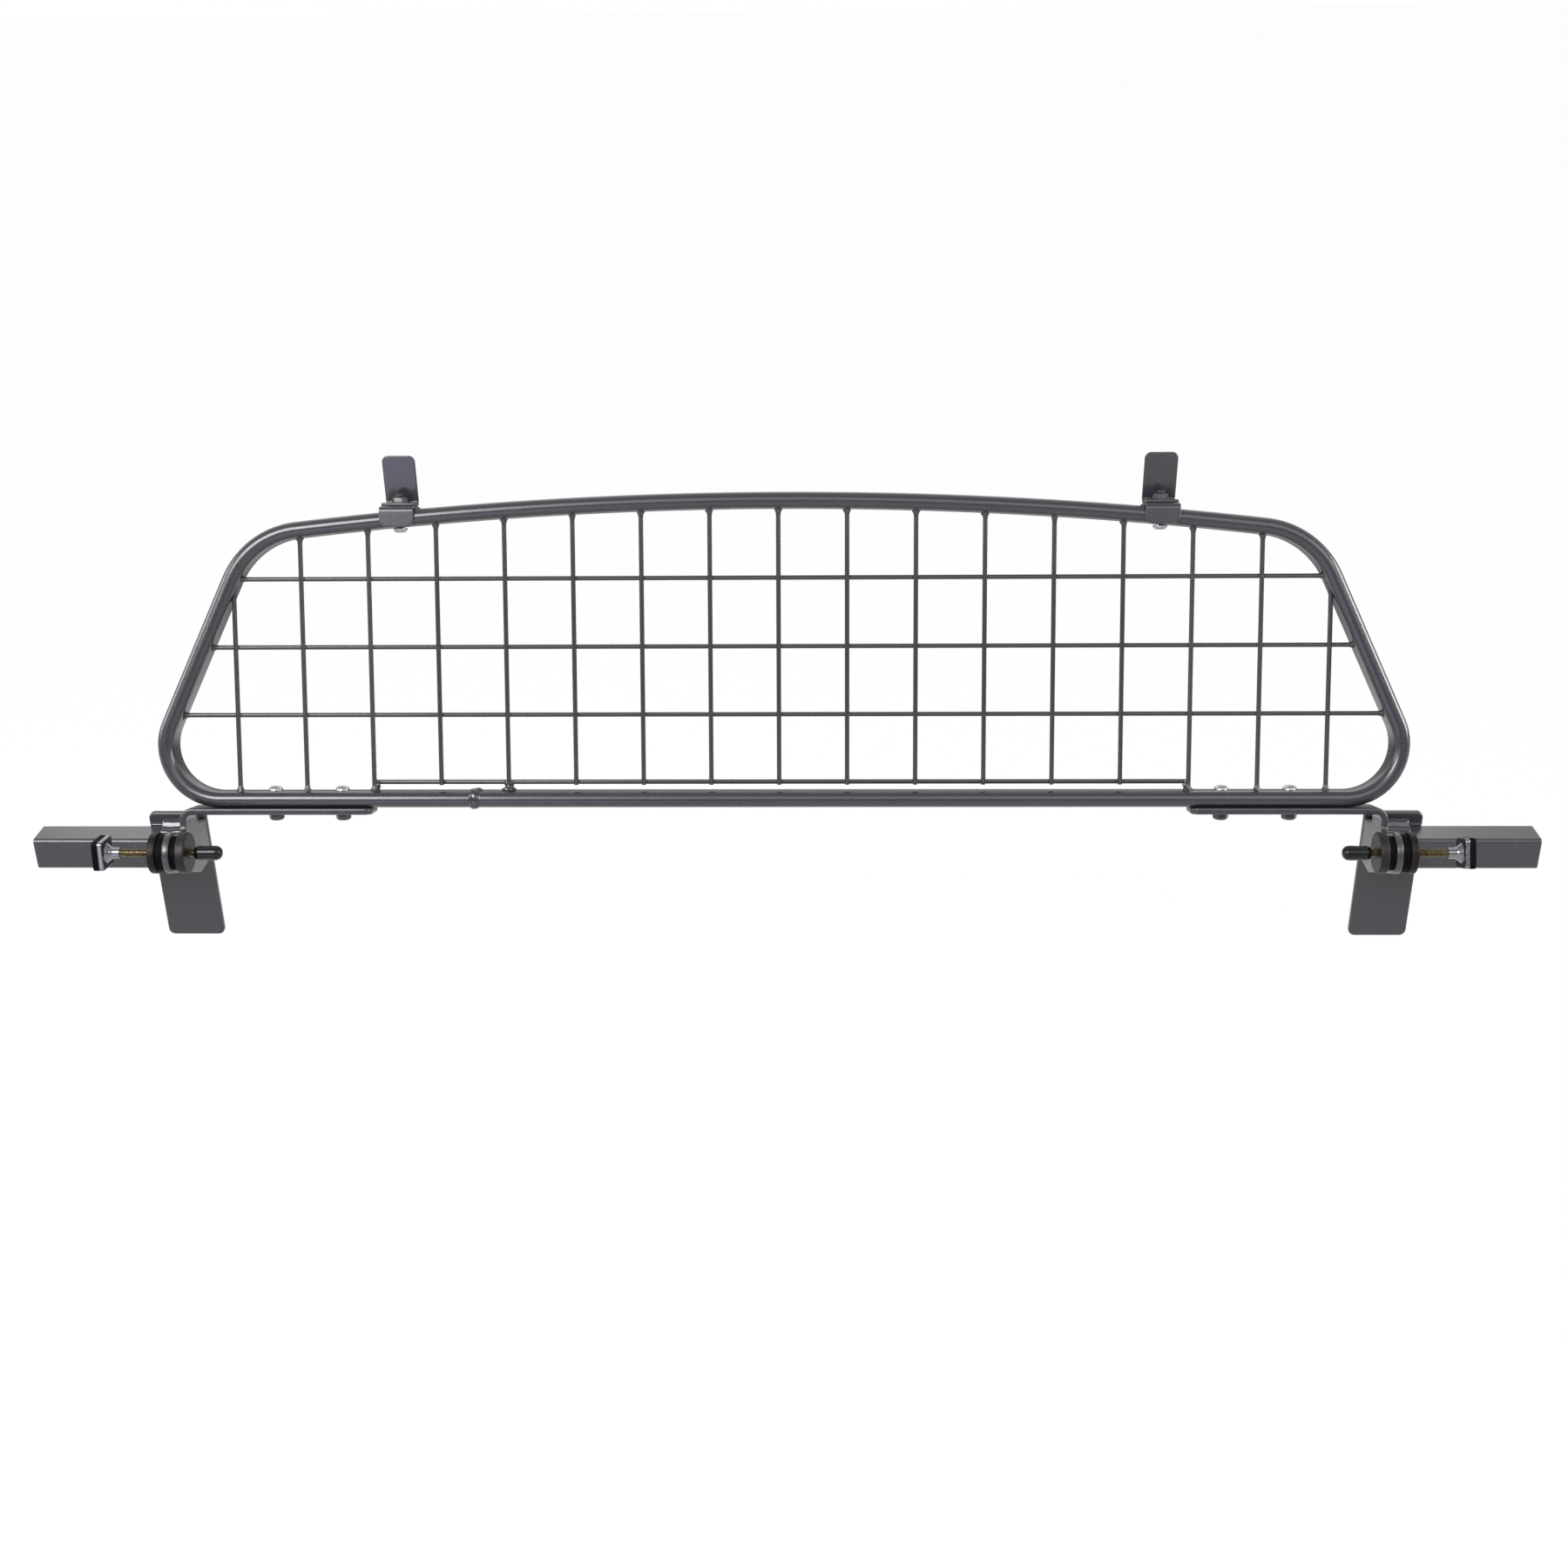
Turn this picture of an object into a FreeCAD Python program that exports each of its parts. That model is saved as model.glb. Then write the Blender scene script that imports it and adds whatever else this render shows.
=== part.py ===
import FreeCAD, Part
import os
import re

import Sketcher
from FreeCAD import Placement, Rotation, Vector

# A car dog guard: a wire mesh in a bent tube hoop, bolted at its foot to two plate brackets.
# Each bracket has a back plate, a square tube arm and a screw jack that braces the guard
# between the sides of the car. Two bolted tabs stand on top of the hoop.
# +X is to the right, +Y goes away from the viewer and +Z is up, in millimetres.
# The origin is the middle of the line that both screw jacks share.
# The hoop and its mesh lean back. Their own frame, here called the guard's frame, has its
# origin on the top face of the straps, under the middle of the tube's depth.

SIZES = {
    # Hoop, measured over the outside of its tube
    "hoop_width": 919,
    "hoop_height": 230,
    "hoop_side_angle": 24.6,
    "hoop_lower_radius": 45.5,
    "hoop_upper_radius": 68.5,
    "hoop_arch_radius": 3100,
    "lean_angle": 20,
    # Flat-sided oval tube of the hoop
    "tube_thickness": 12,
    "tube_depth": 24,
    "tube_wall": 1.5,
    "seam_inset": 234.5,
    "seam_bead_width": 9,
    "seam_bead_crown": 1.4,
    "seam_bead_round": 1.2,
    # Wire mesh
    "wire_diameter": 3.4,
    "mesh_inset": 8.5,
    "outer_wire_inset": 59.5,
    "top_row_drop": 61.6,
    "bottom_row_rise": 18.4,
    "short_wire_tail": 2,
    "weld_flare_radius": 3,
    "weld_flare_length": 4.5,
    # Bent plate under the hoop: strap, bend and leg with its nose
    "strap_depth": 25,
    "strap_gauge": 5,
    "strap_reach": 138,
    "strap_corner_cut": 4,
    "strap_bend_radius": 4,
    "leg_inset": 20.5,
    "guard_setback": 46.7,
    "guard_rise": 14.1,
    "nose_radius": 15,
    "nose_slope": 28,
    "shoulder_drop": 13.4,
    "leg_foot_drop": 42.2,
    "leg_corner_radius": 4,
    # Back plate and arm
    "plate_setback": 72.7,
    "plate_width": 44,
    "plate_height": 107.5,
    "plate_drop": 4.7,
    "plate_thickness": 5,
    "plate_corner_radius": 5,
    "arm_side": 25,
    "arm_wall": 1.5,
    "arm_corner_radius": 1.6,
    "arm_drop": 14.9,
    "arm_reach": 120.3,
    "bead_reach": 12.5,
    "bead_shoulder": 4.5,
    "bead_rise": 6.3,
    "bead_length": 29,
    "bead_shoulder_round": 5,
    "bead_end_round": 2,
    # Screws and nuts
    "screw_radius": 3,
    "screw_head_radius": 5.25,
    "screw_head_height": 3.3,
    "screw_head_round": 2.6,
    "strap_screw_point": 0.3,
    "tab_screw_point": 2,
    "nut_across_flats": 10,
    "nut_height": 5,
    "hole_clearance": 0.2,
    "strap_screw_inset": 23.7,
    "strap_screw_pitch": 50,
    # Saddle and tab on the hoop's top
    "saddle_inset": 182.9,
    "saddle_width": 25,
    "saddle_gauge": 2,
    "saddle_flap": 15,
    "saddle_bend_radius": 2,
    "saddle_corner_cut": 3.5,
    "saddle_clearance": 0.2,
    "tab_width": 24,
    "tab_height": 39.2,
    "tab_gauge": 2.5,
    "tab_toe": 8,
    "tab_heel": 12,
    "tab_bend_radius": 1.5,
    "tab_corner_radius": 4.5,
    # Screw jack
    "rod_radius": 3,
    "running_clearance": 0.05,
    "end_play": 0.05,
    "wheel_radius": 15,
    "wheel_edge_cut": 0.8,
    "inner_wheel_thickness": 6.5,
    "outer_wheel_thickness": 5.5,
    "inner_washer_radius": 12.5,
    "inner_washer_thickness": 4.5,
    "outer_washer_radius": 13.5,
    "outer_washer_thickness": 5.4,
    "inner_thread_run": 4,
    "outer_thread_run": 23.6,
    "cap_radius": 5.35,
    "cap_length": 20,
    "cap_end_wall": 3,
    "cap_dome_radius": 4.6,
    "foot_barrel_radius": 4,
    "foot_barrel_length": 7.4,
    "foot_flare_radius": 7,
    "foot_flare_length": 2.2,
    "foot_bore_depth": 7,
    "foot_side": 22,
    "foot_thickness": 3.6,
    "foot_corner_radius": 3,
    "pad_thickness": 4,
    # How far a cutting shape runs past what it cuts
    "overrun": 5,
}

# The mesh: upright wires on each side of the middle one, and cross wires
WIRES_EACH_SIDE = 8
CROSS_WIRES = 4

# The outermost wires on each side that run down past the short bottom row to the tube
FULL_WIRES_EACH_SIDE = 3

# How far each jack's foot is turned on its rod, its top away from the noses' side
FOOT_TURNS = {"right": 26, "left": 10}

doc = FreeCAD.newDocument("car_dog_guard")
sheet = doc.addObject("Spreadsheet::Sheet", "Sizes")
for row, (alias, number) in enumerate(SIZES.items(), start=1):
    sheet.set(f"A{row}", alias)
    sheet.set(f"B{row}", str(number))
    sheet.setAlias(f"B{row}", alias)
doc.recompute()

# Places that several pieces share, as sums of the sizes above
LEG_FACE = "(hoop_width / 2 - leg_inset)"
LEG_BACK = f"({LEG_FACE} + strap_gauge)"
WIRE_BACK = "(mesh_inset - tube_depth / 2)"
ROW_BACK = f"({WIRE_BACK} + wire_diameter)"
WIRE_PITCH = f"((hoop_width / 2 - outer_wire_inset) / {WIRES_EACH_SIDE})"
ROW_PITCH = f"((hoop_height - top_row_drop - bottom_row_rise) / {CROSS_WIRES - 1})"
SEAM_PLACE = "(hoop_width / 2 - seam_inset)"
SADDLE_PLACE = "(hoop_width / 2 - saddle_inset)"
HOLE_RADIUS = "(screw_radius + hole_clearance)"


def full(expression):
    """An expression on the sizes, with each name pointed at the sheet."""
    return re.sub(r"[a-z_]+", lambda m: f"Sizes.{m[0]}" if m[0] in SIZES else m[0], expression)


def value(expression):
    """The number that an expression on the sizes gives now."""
    if isinstance(expression, (int, float)):
        return float(expression)
    found = sheet.evalExpression(full(expression).replace("Sizes.", ""))
    return float(getattr(found, "Value", found))


def bind(thing, **sizes):
    """Tie properties of a feature to expressions on the sizes."""
    for name, expression in sizes.items():
        thing.setExpression(name, full(expression))


def arch_height(across):
    """Height of the hoop's outer edge at a distance from its middle, in the guard's frame."""
    return f"(hoop_height - hoop_arch_radius + sqrt(hoop_arch_radius^2 - ({across})^2))"


def guard_frame(across="0", back="0", up="0", turn=None):
    """Placement of a piece at a point of the leaning guard."""
    frame = Placement(
        Vector(0, value("guard_setback"), value("guard_rise")),
        Rotation(Vector(1, 0, 0), -value("lean_angle")),
    )
    point = Vector(value(across), value(back), value(up))
    return frame.multiply(Placement(point, turn or Rotation()))


def jack_frame(along):
    """Placement of a turned piece on the right jack's line, its own axis pointing outwards."""
    return Placement(Vector(value(along), 0, 0), Rotation(Vector(0, 1, 0), 90))


def new_body(label):
    body = doc.addObject("PartDesign::Body", label)
    body.Label = label
    return body


def new_sketch(body, name, role):
    """A sketch on one of a body's own origin planes."""
    sketch = body.newObject("Sketcher::SketchObject", name)
    plane = next(item for item in body.Origin.OriginFeatures if item.Role == role)
    sketch.AttachmentSupport = [(plane, "")]
    sketch.MapMode = "FlatFace"
    return sketch


def set_datum(sketch, kind, places, expression):
    """Add one measured constraint and tie it to the sizes."""
    number = value(expression)
    if kind == "Angle":
        number = FreeCAD.Units.Quantity(f"{number} deg").getValueAs("rad").Value
    index = sketch.addConstraint(Sketcher.Constraint(kind, *places, number))
    if isinstance(expression, str):
        sketch.setExpression(f"Constraints[{index}]", full(expression))


def fix_point(sketch, geometry, end, across, up):
    """Hold one point of a sketch at two measured coordinates."""
    axes = (("DistanceX", across, -2), ("DistanceY", up, -1))
    for kind, expression, axis in axes:
        if expression == "0":
            sketch.addConstraint(Sketcher.Constraint("PointOnObject", geometry, end, axis))
        else:
            set_datum(sketch, kind, (geometry, end), expression)


def add_outline(sketch, corners):
    """A closed outline of straight edges, each corner held by its coordinates."""
    points = [Vector(value(across), value(up), 0) for across, up in corners]
    first = sketch.GeometryCount
    for start, stop in zip(points, points[1:] + points[:1]):
        sketch.addGeometry(Part.LineSegment(start, stop), False)
    last = sketch.GeometryCount - 1
    for number, (across, up) in enumerate(corners):
        here = first + number
        before = here - 1 if number else last
        sketch.addConstraint(Sketcher.Constraint("Coincident", before, 2, here, 1))
        fix_point(sketch, here, 1, across, up)


def add_circle(sketch, radius, across="0", up="0"):
    """A circle held by its centre and radius."""
    centre = Vector(value(across), value(up), 0)
    number = sketch.addGeometry(Part.Circle(centre, Vector(0, 0, 1), value(radius)), False)
    fix_point(sketch, number, 3, across, up)
    set_datum(sketch, "Radius", (number,), radius)


def add_slot(sketch, length, thickness, up):
    """A flat-sided oval lying along the sketch's first axis."""
    reach = value(f"({length} - {thickness}) / 2")
    radius = value(f"{thickness} / 2")
    level = value(up)
    straight = FreeCAD.Units.Quantity("180 deg").getValueAs("rad").Value
    quarter = straight / 2
    for side in (1, -1):
        circle = Part.Circle(Vector(side * reach, level, 0), Vector(0, 0, 1), radius)
        start = -quarter if side == 1 else quarter
        sketch.addGeometry(Part.ArcOfCircle(circle, start, start + straight), False)
        line = Part.LineSegment(
            Vector(side * reach, level + side * radius, 0),
            Vector(-side * reach, level + side * radius, 0),
        )
        sketch.addGeometry(line, False)
    for number in range(4):
        sketch.addConstraint(Sketcher.Constraint("Tangent", number, 2, (number + 1) % 4, 1))
    for number, side in ((0, ""), (2, "-")):
        fix_point(sketch, number, 3, f"{side}({length} - {thickness}) / 2", up)
        set_datum(sketch, "Radius", (number,), f"{thickness} / 2")


def pad(body, sketch, length, reverse=False, both=False):
    feature = body.newObject("PartDesign::Pad", "Pad")
    feature.Profile = sketch
    feature.Reversed = reverse
    if both:
        feature.SideType = "Symmetric"
    bind(feature, Length=length)
    doc.recompute()
    return feature


def pocket(body, sketch, length, reverse=False, both=False):
    """Cut a sketch out of a body, and make sure that it removed something."""
    before = body.Tip.Shape.Volume
    feature = body.newObject("PartDesign::Pocket", "Pocket")
    feature.Profile = sketch
    feature.Reversed = reverse
    if both:
        feature.SideType = "Symmetric"
    bind(feature, Length=length)
    doc.recompute()
    if feature.Shape.Volume >= before:
        raise ValueError(f"{body.Label}: a pocket removes nothing")
    return feature


def straight_edges(shape, direction, wanted=lambda middle: True):
    """Names of the straight edges along a direction whose middles are wanted."""
    names = []
    for number, edge in enumerate(shape.Edges, start=1):
        if not isinstance(edge.Curve, Part.Line):
            continue
        along = edge.tangentAt(edge.FirstParameter).cross(direction).Length < 1e-6
        if along and wanted(edge.CenterOfMass):
            names.append(f"Edge{number}")
    return names


def round_edges(body, names, radius, kind="Fillet"):
    """Fillet or chamfer named edges of a body's last feature."""
    base = body.Tip
    feature = body.newObject(f"PartDesign::{kind}", kind)
    feature.Base = (base, names)
    if kind == "Fillet":
        bind(feature, Radius=radius)
    else:
        bind(feature, Size=radius)
    doc.recompute()
    return feature


def turned(label, corners):
    """A body turned about its own upright axis from corners given as radius and height."""
    body = new_body(label)
    sketch = new_sketch(body, "Section", "XZ_Plane")
    add_outline(sketch, corners)
    turn = body.newObject("PartDesign::Revolution", "Revolution")
    turn.Profile = sketch
    turn.ReferenceAxis = (sketch, ["V_Axis"])
    doc.recompute()
    return body


def ring(label, outer, bore, length):
    """A plain turned ring that starts at its own origin."""
    return turned(label, [(bore, "0"), (outer, "0"), (outer, length), (bore, length)])


def mirrored(right, label):
    """The left-hand twin of a right-hand piece."""
    twin = doc.addObject("Part::Mirroring", label)
    twin.Label = label
    twin.Source = right
    twin.Normal = Vector(1, 0, 0)
    doc.recompute()
    return twin


def group(label, pieces):
    """Separate like pieces that share one name."""
    compound = doc.addObject("Part::Compound", label)
    compound.Label = label
    compound.Links = pieces
    doc.recompute()
    return compound


def add_hoop_outline(sketch, inset):
    """The hoop's closed outline, drawn inside its outer edge by an inset.

    It starts at the middle of the bottom run and goes round by the right side.
    """
    low, high = f"(hoop_lower_radius - {inset})", f"(hoop_upper_radius - {inset})"
    arch = f"(hoop_arch_radius - {inset})"
    low_x, low_y = "(hoop_width / 2 - hoop_lower_radius)", "hoop_lower_radius"
    crown_y = "(hoop_height - hoop_arch_radius)"
    slope = value("hoop_side_angle")
    side = Rotation(Vector(0, 0, 1), slope)
    along, outwards = side.multVec(Vector(0, 1, 0)), side.multVec(Vector(1, 0, 0))
    low_centre = Vector(value(low_x), value(low_y), 0)
    crown = Vector(0, value(crown_y), 0)
    # The upper corner's centre lies on a line beside the leg and inside the arch
    start = low_centre + outwards * value("hoop_lower_radius - hoop_upper_radius") - crown
    reach = value("hoop_arch_radius - hoop_upper_radius")
    run = -start.dot(along) + (start.dot(along) ** 2 - start.dot(start) + reach**2) ** 0.5
    high_centre = crown + start + along * run
    outer = (high_centre - crown).normalize()
    bottom = Vector(low_centre.x, value(inset), 0)
    stations = [Vector(0, value(inset), 0), bottom, low_centre + outwards * value(low)]
    stations += [high_centre + outwards * value(high), high_centre + outer * value(high)]
    twins = [Vector(-point.x, point.y, 0) for point in reversed(stations)]

    def corner(centre, radius, start, stop):
        middle = (start + stop) * 0.5 - centre
        return Part.Arc(start, centre + middle.normalize() * value(radius), stop)

    left_low = Vector(-low_centre.x, low_centre.y, 0)
    left_high = Vector(-high_centre.x, high_centre.y, 0)
    pieces = [
        Part.LineSegment(stations[0], stations[1]),
        corner(low_centre, low, stations[1], stations[2]),
        Part.LineSegment(stations[2], stations[3]),
        corner(high_centre, high, stations[3], stations[4]),
        corner(crown, arch, stations[4], twins[0]),
        corner(left_high, high, twins[0], twins[1]),
        Part.LineSegment(twins[1], twins[2]),
        corner(left_low, low, twins[2], twins[3]),
        Part.LineSegment(twins[3], twins[4]),
    ]
    sketch.addGeometry(pieces, False)
    for number in range(len(pieces) - 1):
        sketch.addConstraint(Sketcher.Constraint("Tangent", number, 2, number + 1, 1))
    sketch.addConstraint(Sketcher.Constraint("Coincident", len(pieces) - 1, 2, 0, 1))
    fix_point(sketch, 0, 1, "0", inset)
    for number in (0, len(pieces) - 1):
        sketch.addConstraint(Sketcher.Constraint("Horizontal", number))
    for number, radius in ((1, low), (3, high), (4, arch), (5, high), (7, low)):
        set_datum(sketch, "Radius", (number,), radius)
    set_datum(sketch, "Angle", (2,), "90 + hoop_side_angle")
    set_datum(sketch, "Angle", (6,), "-(90 + hoop_side_angle)")
    set_datum(sketch, "DistanceX", (1, 3), low_x)
    set_datum(sketch, "DistanceX", (7, 3), f"-{low_x}")
    fix_point(sketch, 4, 3, "0", crown_y)


def make_window():
    """The space inside the hoop, used to cope the wires to the tube's inner side."""
    body = new_body("hoop_window")
    sketch = new_sketch(body, "Window", "XZ_Plane")
    add_hoop_outline(sketch, "tube_thickness")
    pad(body, sketch, "tube_depth", both=True)
    return body


def make_hoop():
    """The bent tube, with its bore and the holes for the strap and saddle screws."""
    body = new_body("hoop_frame")
    path = new_sketch(body, "Bend", "XZ_Plane")
    add_hoop_outline(path, "tube_thickness / 2")
    outside = new_sketch(body, "Tube", "YZ_Plane")
    add_slot(outside, "tube_depth", "tube_thickness", "tube_thickness / 2")
    bore = new_sketch(body, "Bore", "YZ_Plane")
    depth, thickness = "(tube_depth - 2 * tube_wall)", "(tube_thickness - 2 * tube_wall)"
    add_slot(bore, depth, thickness, "tube_thickness / 2")
    doc.recompute()
    for kind, profile in (("AdditivePipe", outside), ("SubtractivePipe", bore)):
        pipe = body.newObject(f"PartDesign::{kind}", kind)
        pipe.Profile = profile
        pipe.Spine = path
        doc.recompute()
    strap_holes = new_sketch(body, "StrapHoles", "XY_Plane")
    for side in ("", "-"):
        for number in range(2):
            add_circle(strap_holes, HOLE_RADIUS, f"{side}{strap_screw_place(number)}")
    pocket(body, strap_holes, "tube_thickness + overrun", reverse=True)
    saddle_holes = new_sketch(body, "SaddleHoles", "XY_Plane")
    saddle_holes.AttachmentOffset = Placement(Vector(0, 0, value("hoop_height")), Rotation())
    for side in ("", "-"):
        add_circle(saddle_holes, HOLE_RADIUS, f"{side}{SADDLE_PLACE}")
    drop = f"hoop_height - {arch_height(SADDLE_PLACE)} + tube_thickness + overrun"
    pocket(body, saddle_holes, drop)
    body.Placement = guard_frame()
    return body


def make_seam():
    """The weld bead round the tube where the bent hoop closes."""
    body = new_body("hoop_seam_weld")
    outside = new_sketch(body, "Crown", "YZ_Plane")
    crowned = "(tube_depth + 2 * seam_bead_crown)", "(tube_thickness + 2 * seam_bead_crown)"
    add_slot(outside, *crowned, "tube_thickness / 2")
    pad(body, outside, "seam_bead_width", both=True)
    half = value("seam_bead_width / 2")
    rims = [f"Edge{n}" for n, edge in enumerate(body.Tip.Shape.Edges, start=1)
            if abs(abs(edge.CenterOfMass.x) - half) < 1e-3]
    round_edges(body, rims, "seam_bead_round")
    inside = new_sketch(body, "Tube", "YZ_Plane")
    add_slot(inside, "tube_depth", "tube_thickness", "tube_thickness / 2")
    pocket(body, inside, "seam_bead_width + overrun", both=True)
    body.Placement = guard_frame(f"-{SEAM_PLACE}")
    return body


def strap_screw_place(number):
    """Distance from the middle to one of a strap's screws."""
    return f"({LEG_FACE} - strap_reach + strap_screw_inset + {number} * strap_screw_pitch)"


def row_height(number):
    """Height of a cross wire in the guard's frame, counted down from the top row."""
    return f"(hoop_height - top_row_drop - {number} * {ROW_PITCH})"


def clear_span(window, start, stop):
    """The two ends of the part of a straight line that lies inside the hoop."""
    inside = Part.makeLine(start, stop).common(window.Shape).Vertexes
    ends = sorted((vertex.Point for vertex in inside), key=lambda p: (p - start).Length)
    return ends[0], ends[-1]


def flared_wire(label, length, flares):
    """A wire along its own axis, widened by weld where it meets the tube.

    The widened ends run on past the wire, to be trimmed to the tube afterwards.
    """
    radius = "wire_diameter / 2"
    low, high = [("0", 0.0), (radius, 0.0)], [(radius, length), ("0", length)]
    past, flare = value("overrun"), value("weld_flare_length")
    if flares[0]:
        low = [("0", -past), ("weld_flare_radius", -past), ("weld_flare_radius", "0")]
        low += [(radius, flare)]
    if flares[1]:
        high = [(radius, length - flare), ("weld_flare_radius", length)]
        high += [("weld_flare_radius", length + past), ("0", length + past)]
    return turned(label, low + high)


def coped_wire(label, body, window, place):
    """A wire cut to the hoop's inner side."""
    body.Placement = place
    wire = doc.addObject("Part::Common", label)
    wire.Label = label
    wire.Base = body
    wire.Tool = window
    doc.recompute()
    wire.Placement = guard_frame()
    return wire


def make_mesh(window):
    """Upright wires in front, cross wires behind them, all welded to the hoop and each other."""
    pitch = value(WIRE_PITCH)
    short_reach = WIRES_EACH_SIDE - FULL_WIRES_EACH_SIDE
    bottom_row = row_height(CROSS_WIRES - 1)
    # A turned wire's seam line faces away from the tube's curve, to the back
    upright = Rotation(Vector(0, 0, 1), 90)
    sideways = Rotation(Vector(0, 1, 0), 90).multiply(upright)
    wires = []
    for number in range(-WIRES_EACH_SIDE, WIRES_EACH_SIDE + 1):
        across, back = number * pitch, value(WIRE_BACK)
        foot, head = Vector(across, back, 0), Vector(across, back, value("hoop_height"))
        low, high = clear_span(window, foot, head)
        reaches_tube = abs(number) > short_reach
        if not reaches_tube:
            low = Vector(across, back, value(f"{bottom_row} - short_wire_tail"))
        name = f"vertical_wire_{number + WIRES_EACH_SIDE + 1:02d}"
        blank = flared_wire(f"{name}_blank", (high - low).Length, (reaches_tube, True))
        wires.append(coped_wire(name, blank, window, Placement(low, upright)))
    for number in range(CROSS_WIRES):
        height, back = value(row_height(number)), value(ROW_BACK)
        reach = value("hoop_width / 2")
        ends = Vector(-reach, back, height), Vector(reach, back, height)
        low, high = clear_span(window, *ends)
        welded = number < CROSS_WIRES - 1
        if not welded:
            reach = (short_reach + 1) * pitch + value("wire_diameter / 2")
            low, high = Vector(-reach, back, height), Vector(reach, back, height)
        name = f"cross_wire_{number + 1}"
        blank = flared_wire(f"{name}_blank", (high - low).Length, (welded, welded))
        wires.append(coped_wire(name, blank, window, Placement(low, sideways)))
    return wires


def in_jack_frame(back, up):
    """A point of the guard's frame, seen from the side, in the jack's own frame."""
    return (
        f"(guard_setback + ({back}) * cos(lean_angle) + ({up}) * sin(lean_angle))",
        f"(guard_rise - ({back}) * sin(lean_angle) + ({up}) * cos(lean_angle))",
    )


def make_bracket():
    """The bent plate of the right side: strap under the hoop, bend, and leg with its nose."""
    body = new_body("right_lower_bracket")
    # Strap and the top of the leg, seen from the front, square to the leaning hoop
    strap = new_sketch(body, "Strap", "XZ_Plane")
    strap.AttachmentOffset = Placement(
        Vector(0, value("guard_rise"), -value("guard_setback")),
        Rotation(Vector(1, 0, 0), -value("lean_angle")),
    )
    inner_end = f"({LEG_FACE} - strap_reach)"
    add_outline(strap, [
        (inner_end, "0"),
        (LEG_BACK, "0"),
        (LEG_BACK, "-shoulder_drop"),
        (LEG_FACE, "-shoulder_drop"),
        (LEG_FACE, "-strap_gauge"),
        (inner_end, "-strap_gauge"),
    ])
    pad(body, strap, "strap_depth", both=True)
    lean = Rotation(Vector(1, 0, 0), -value("lean_angle"))
    inwards, upwards = lean.multVec(Vector(0, 1, 0)), lean.multVec(Vector(0, 0, 1))
    face, back, top = value(LEG_FACE), value(LEG_BACK), guard_frame().Base.dot(upwards)

    def at(across, up):
        def wanted(middle):
            level = middle.dot(upwards) - top
            return abs(middle.x - across) < 1e-3 and abs(level - up) < 1e-3
        return wanted

    inside = straight_edges(body.Tip.Shape, inwards, at(face, -value("strap_gauge")))
    round_edges(body, inside, "strap_bend_radius")
    outside = straight_edges(body.Tip.Shape, inwards, at(back, 0))
    round_edges(body, outside, "strap_bend_radius + strap_gauge")
    end = value(inner_end)
    corners = straight_edges(body.Tip.Shape, upwards, lambda middle: abs(middle.x - end) < 1e-3)
    round_edges(body, corners, "strap_corner_cut", "Chamfer")
    holes = new_sketch(body, "StrapHoles", "XY_Plane")
    holes.AttachmentOffset = guard_frame()
    for number in range(2):
        add_circle(holes, HOLE_RADIUS, strap_screw_place(number))
    pocket(body, holes, "2 * (strap_gauge + overrun)", both=True)
    # Leg, seen from the side: neck and shoulder, then the bar that slopes forward to the nose
    half, deep = "strap_depth / 2", "-(shoulder_drop + nose_radius)"
    neck_top, far = "-(strap_gauge + strap_bend_radius)", "(plate_setback + nose_radius)"
    run = f"({far} / cos(nose_slope))"
    rise = "nose_radius * sin(nose_slope)", "nose_radius * cos(nose_slope)"
    neck = [(f"-{half}", neck_top), (half, neck_top), (half, "-shoulder_drop")]
    neck += [(far, "-shoulder_drop"), (far, deep), (f"-{half}", deep)]
    bar = [
        rise,
        (f"{rise[0]} + {run} * cos(nose_slope)", f"{rise[1]} - {run} * sin(nose_slope)"),
        (f"-{rise[0]} + {run} * cos(nose_slope)", f"-{rise[1]} - {run} * sin(nose_slope)"),
        (f"-{rise[0]}", f"-{rise[1]}"),
    ]
    for name, outline in (("Neck", [in_jack_frame(*point) for point in neck]), ("Bar", bar)):
        sketch = leg_sketch(body, name)
        add_outline(sketch, outline)
        pad(body, sketch, "strap_gauge")
    nose = leg_sketch(body, "Nose")
    add_circle(nose, "nose_radius")
    pad(body, nose, "strap_gauge")
    # The leg ends against the back plate and level with its lower weld
    below, behind = "-(leg_foot_drop + plate_height)", f"({far} + plate_height)"
    trim = leg_sketch(body, "Trim")
    add_outline(trim, [
        ("plate_setback", "plate_height"),
        ("plate_setback", "-leg_foot_drop"),
        ("-nose_radius", "-leg_foot_drop"),
        ("-nose_radius", below),
        (behind, below),
        (behind, "plate_height"),
    ])
    pocket(body, trim, "strap_gauge + overrun", reverse=True)
    hole = leg_sketch(body, "JackHole")
    add_circle(hole, "rod_radius + hole_clearance")
    pocket(body, hole, "strap_gauge + overrun", reverse=True)
    # The cut corners of the leg are rounded, apart from those on the back plate
    reach = value("plate_setback") - 1e-3
    drop = value("shoulder_drop + guard_rise")
    sideways = straight_edges(
        body.Tip.Shape,
        Vector(1, 0, 0),
        lambda middle: middle.x > face and middle.y < reach and middle.z < drop
        and Vector(0, middle.y, middle.z).Length > value("nose_radius") + 1e-3,
    )
    round_edges(body, sideways, "leg_corner_radius")
    return body


def leg_sketch(body, name):
    """A side-view sketch on the leg's inner face."""
    sketch = new_sketch(body, name, "YZ_Plane")
    sketch.AttachmentOffset = Placement(Vector(0, 0, value(LEG_FACE)), Rotation())
    return sketch


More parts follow.
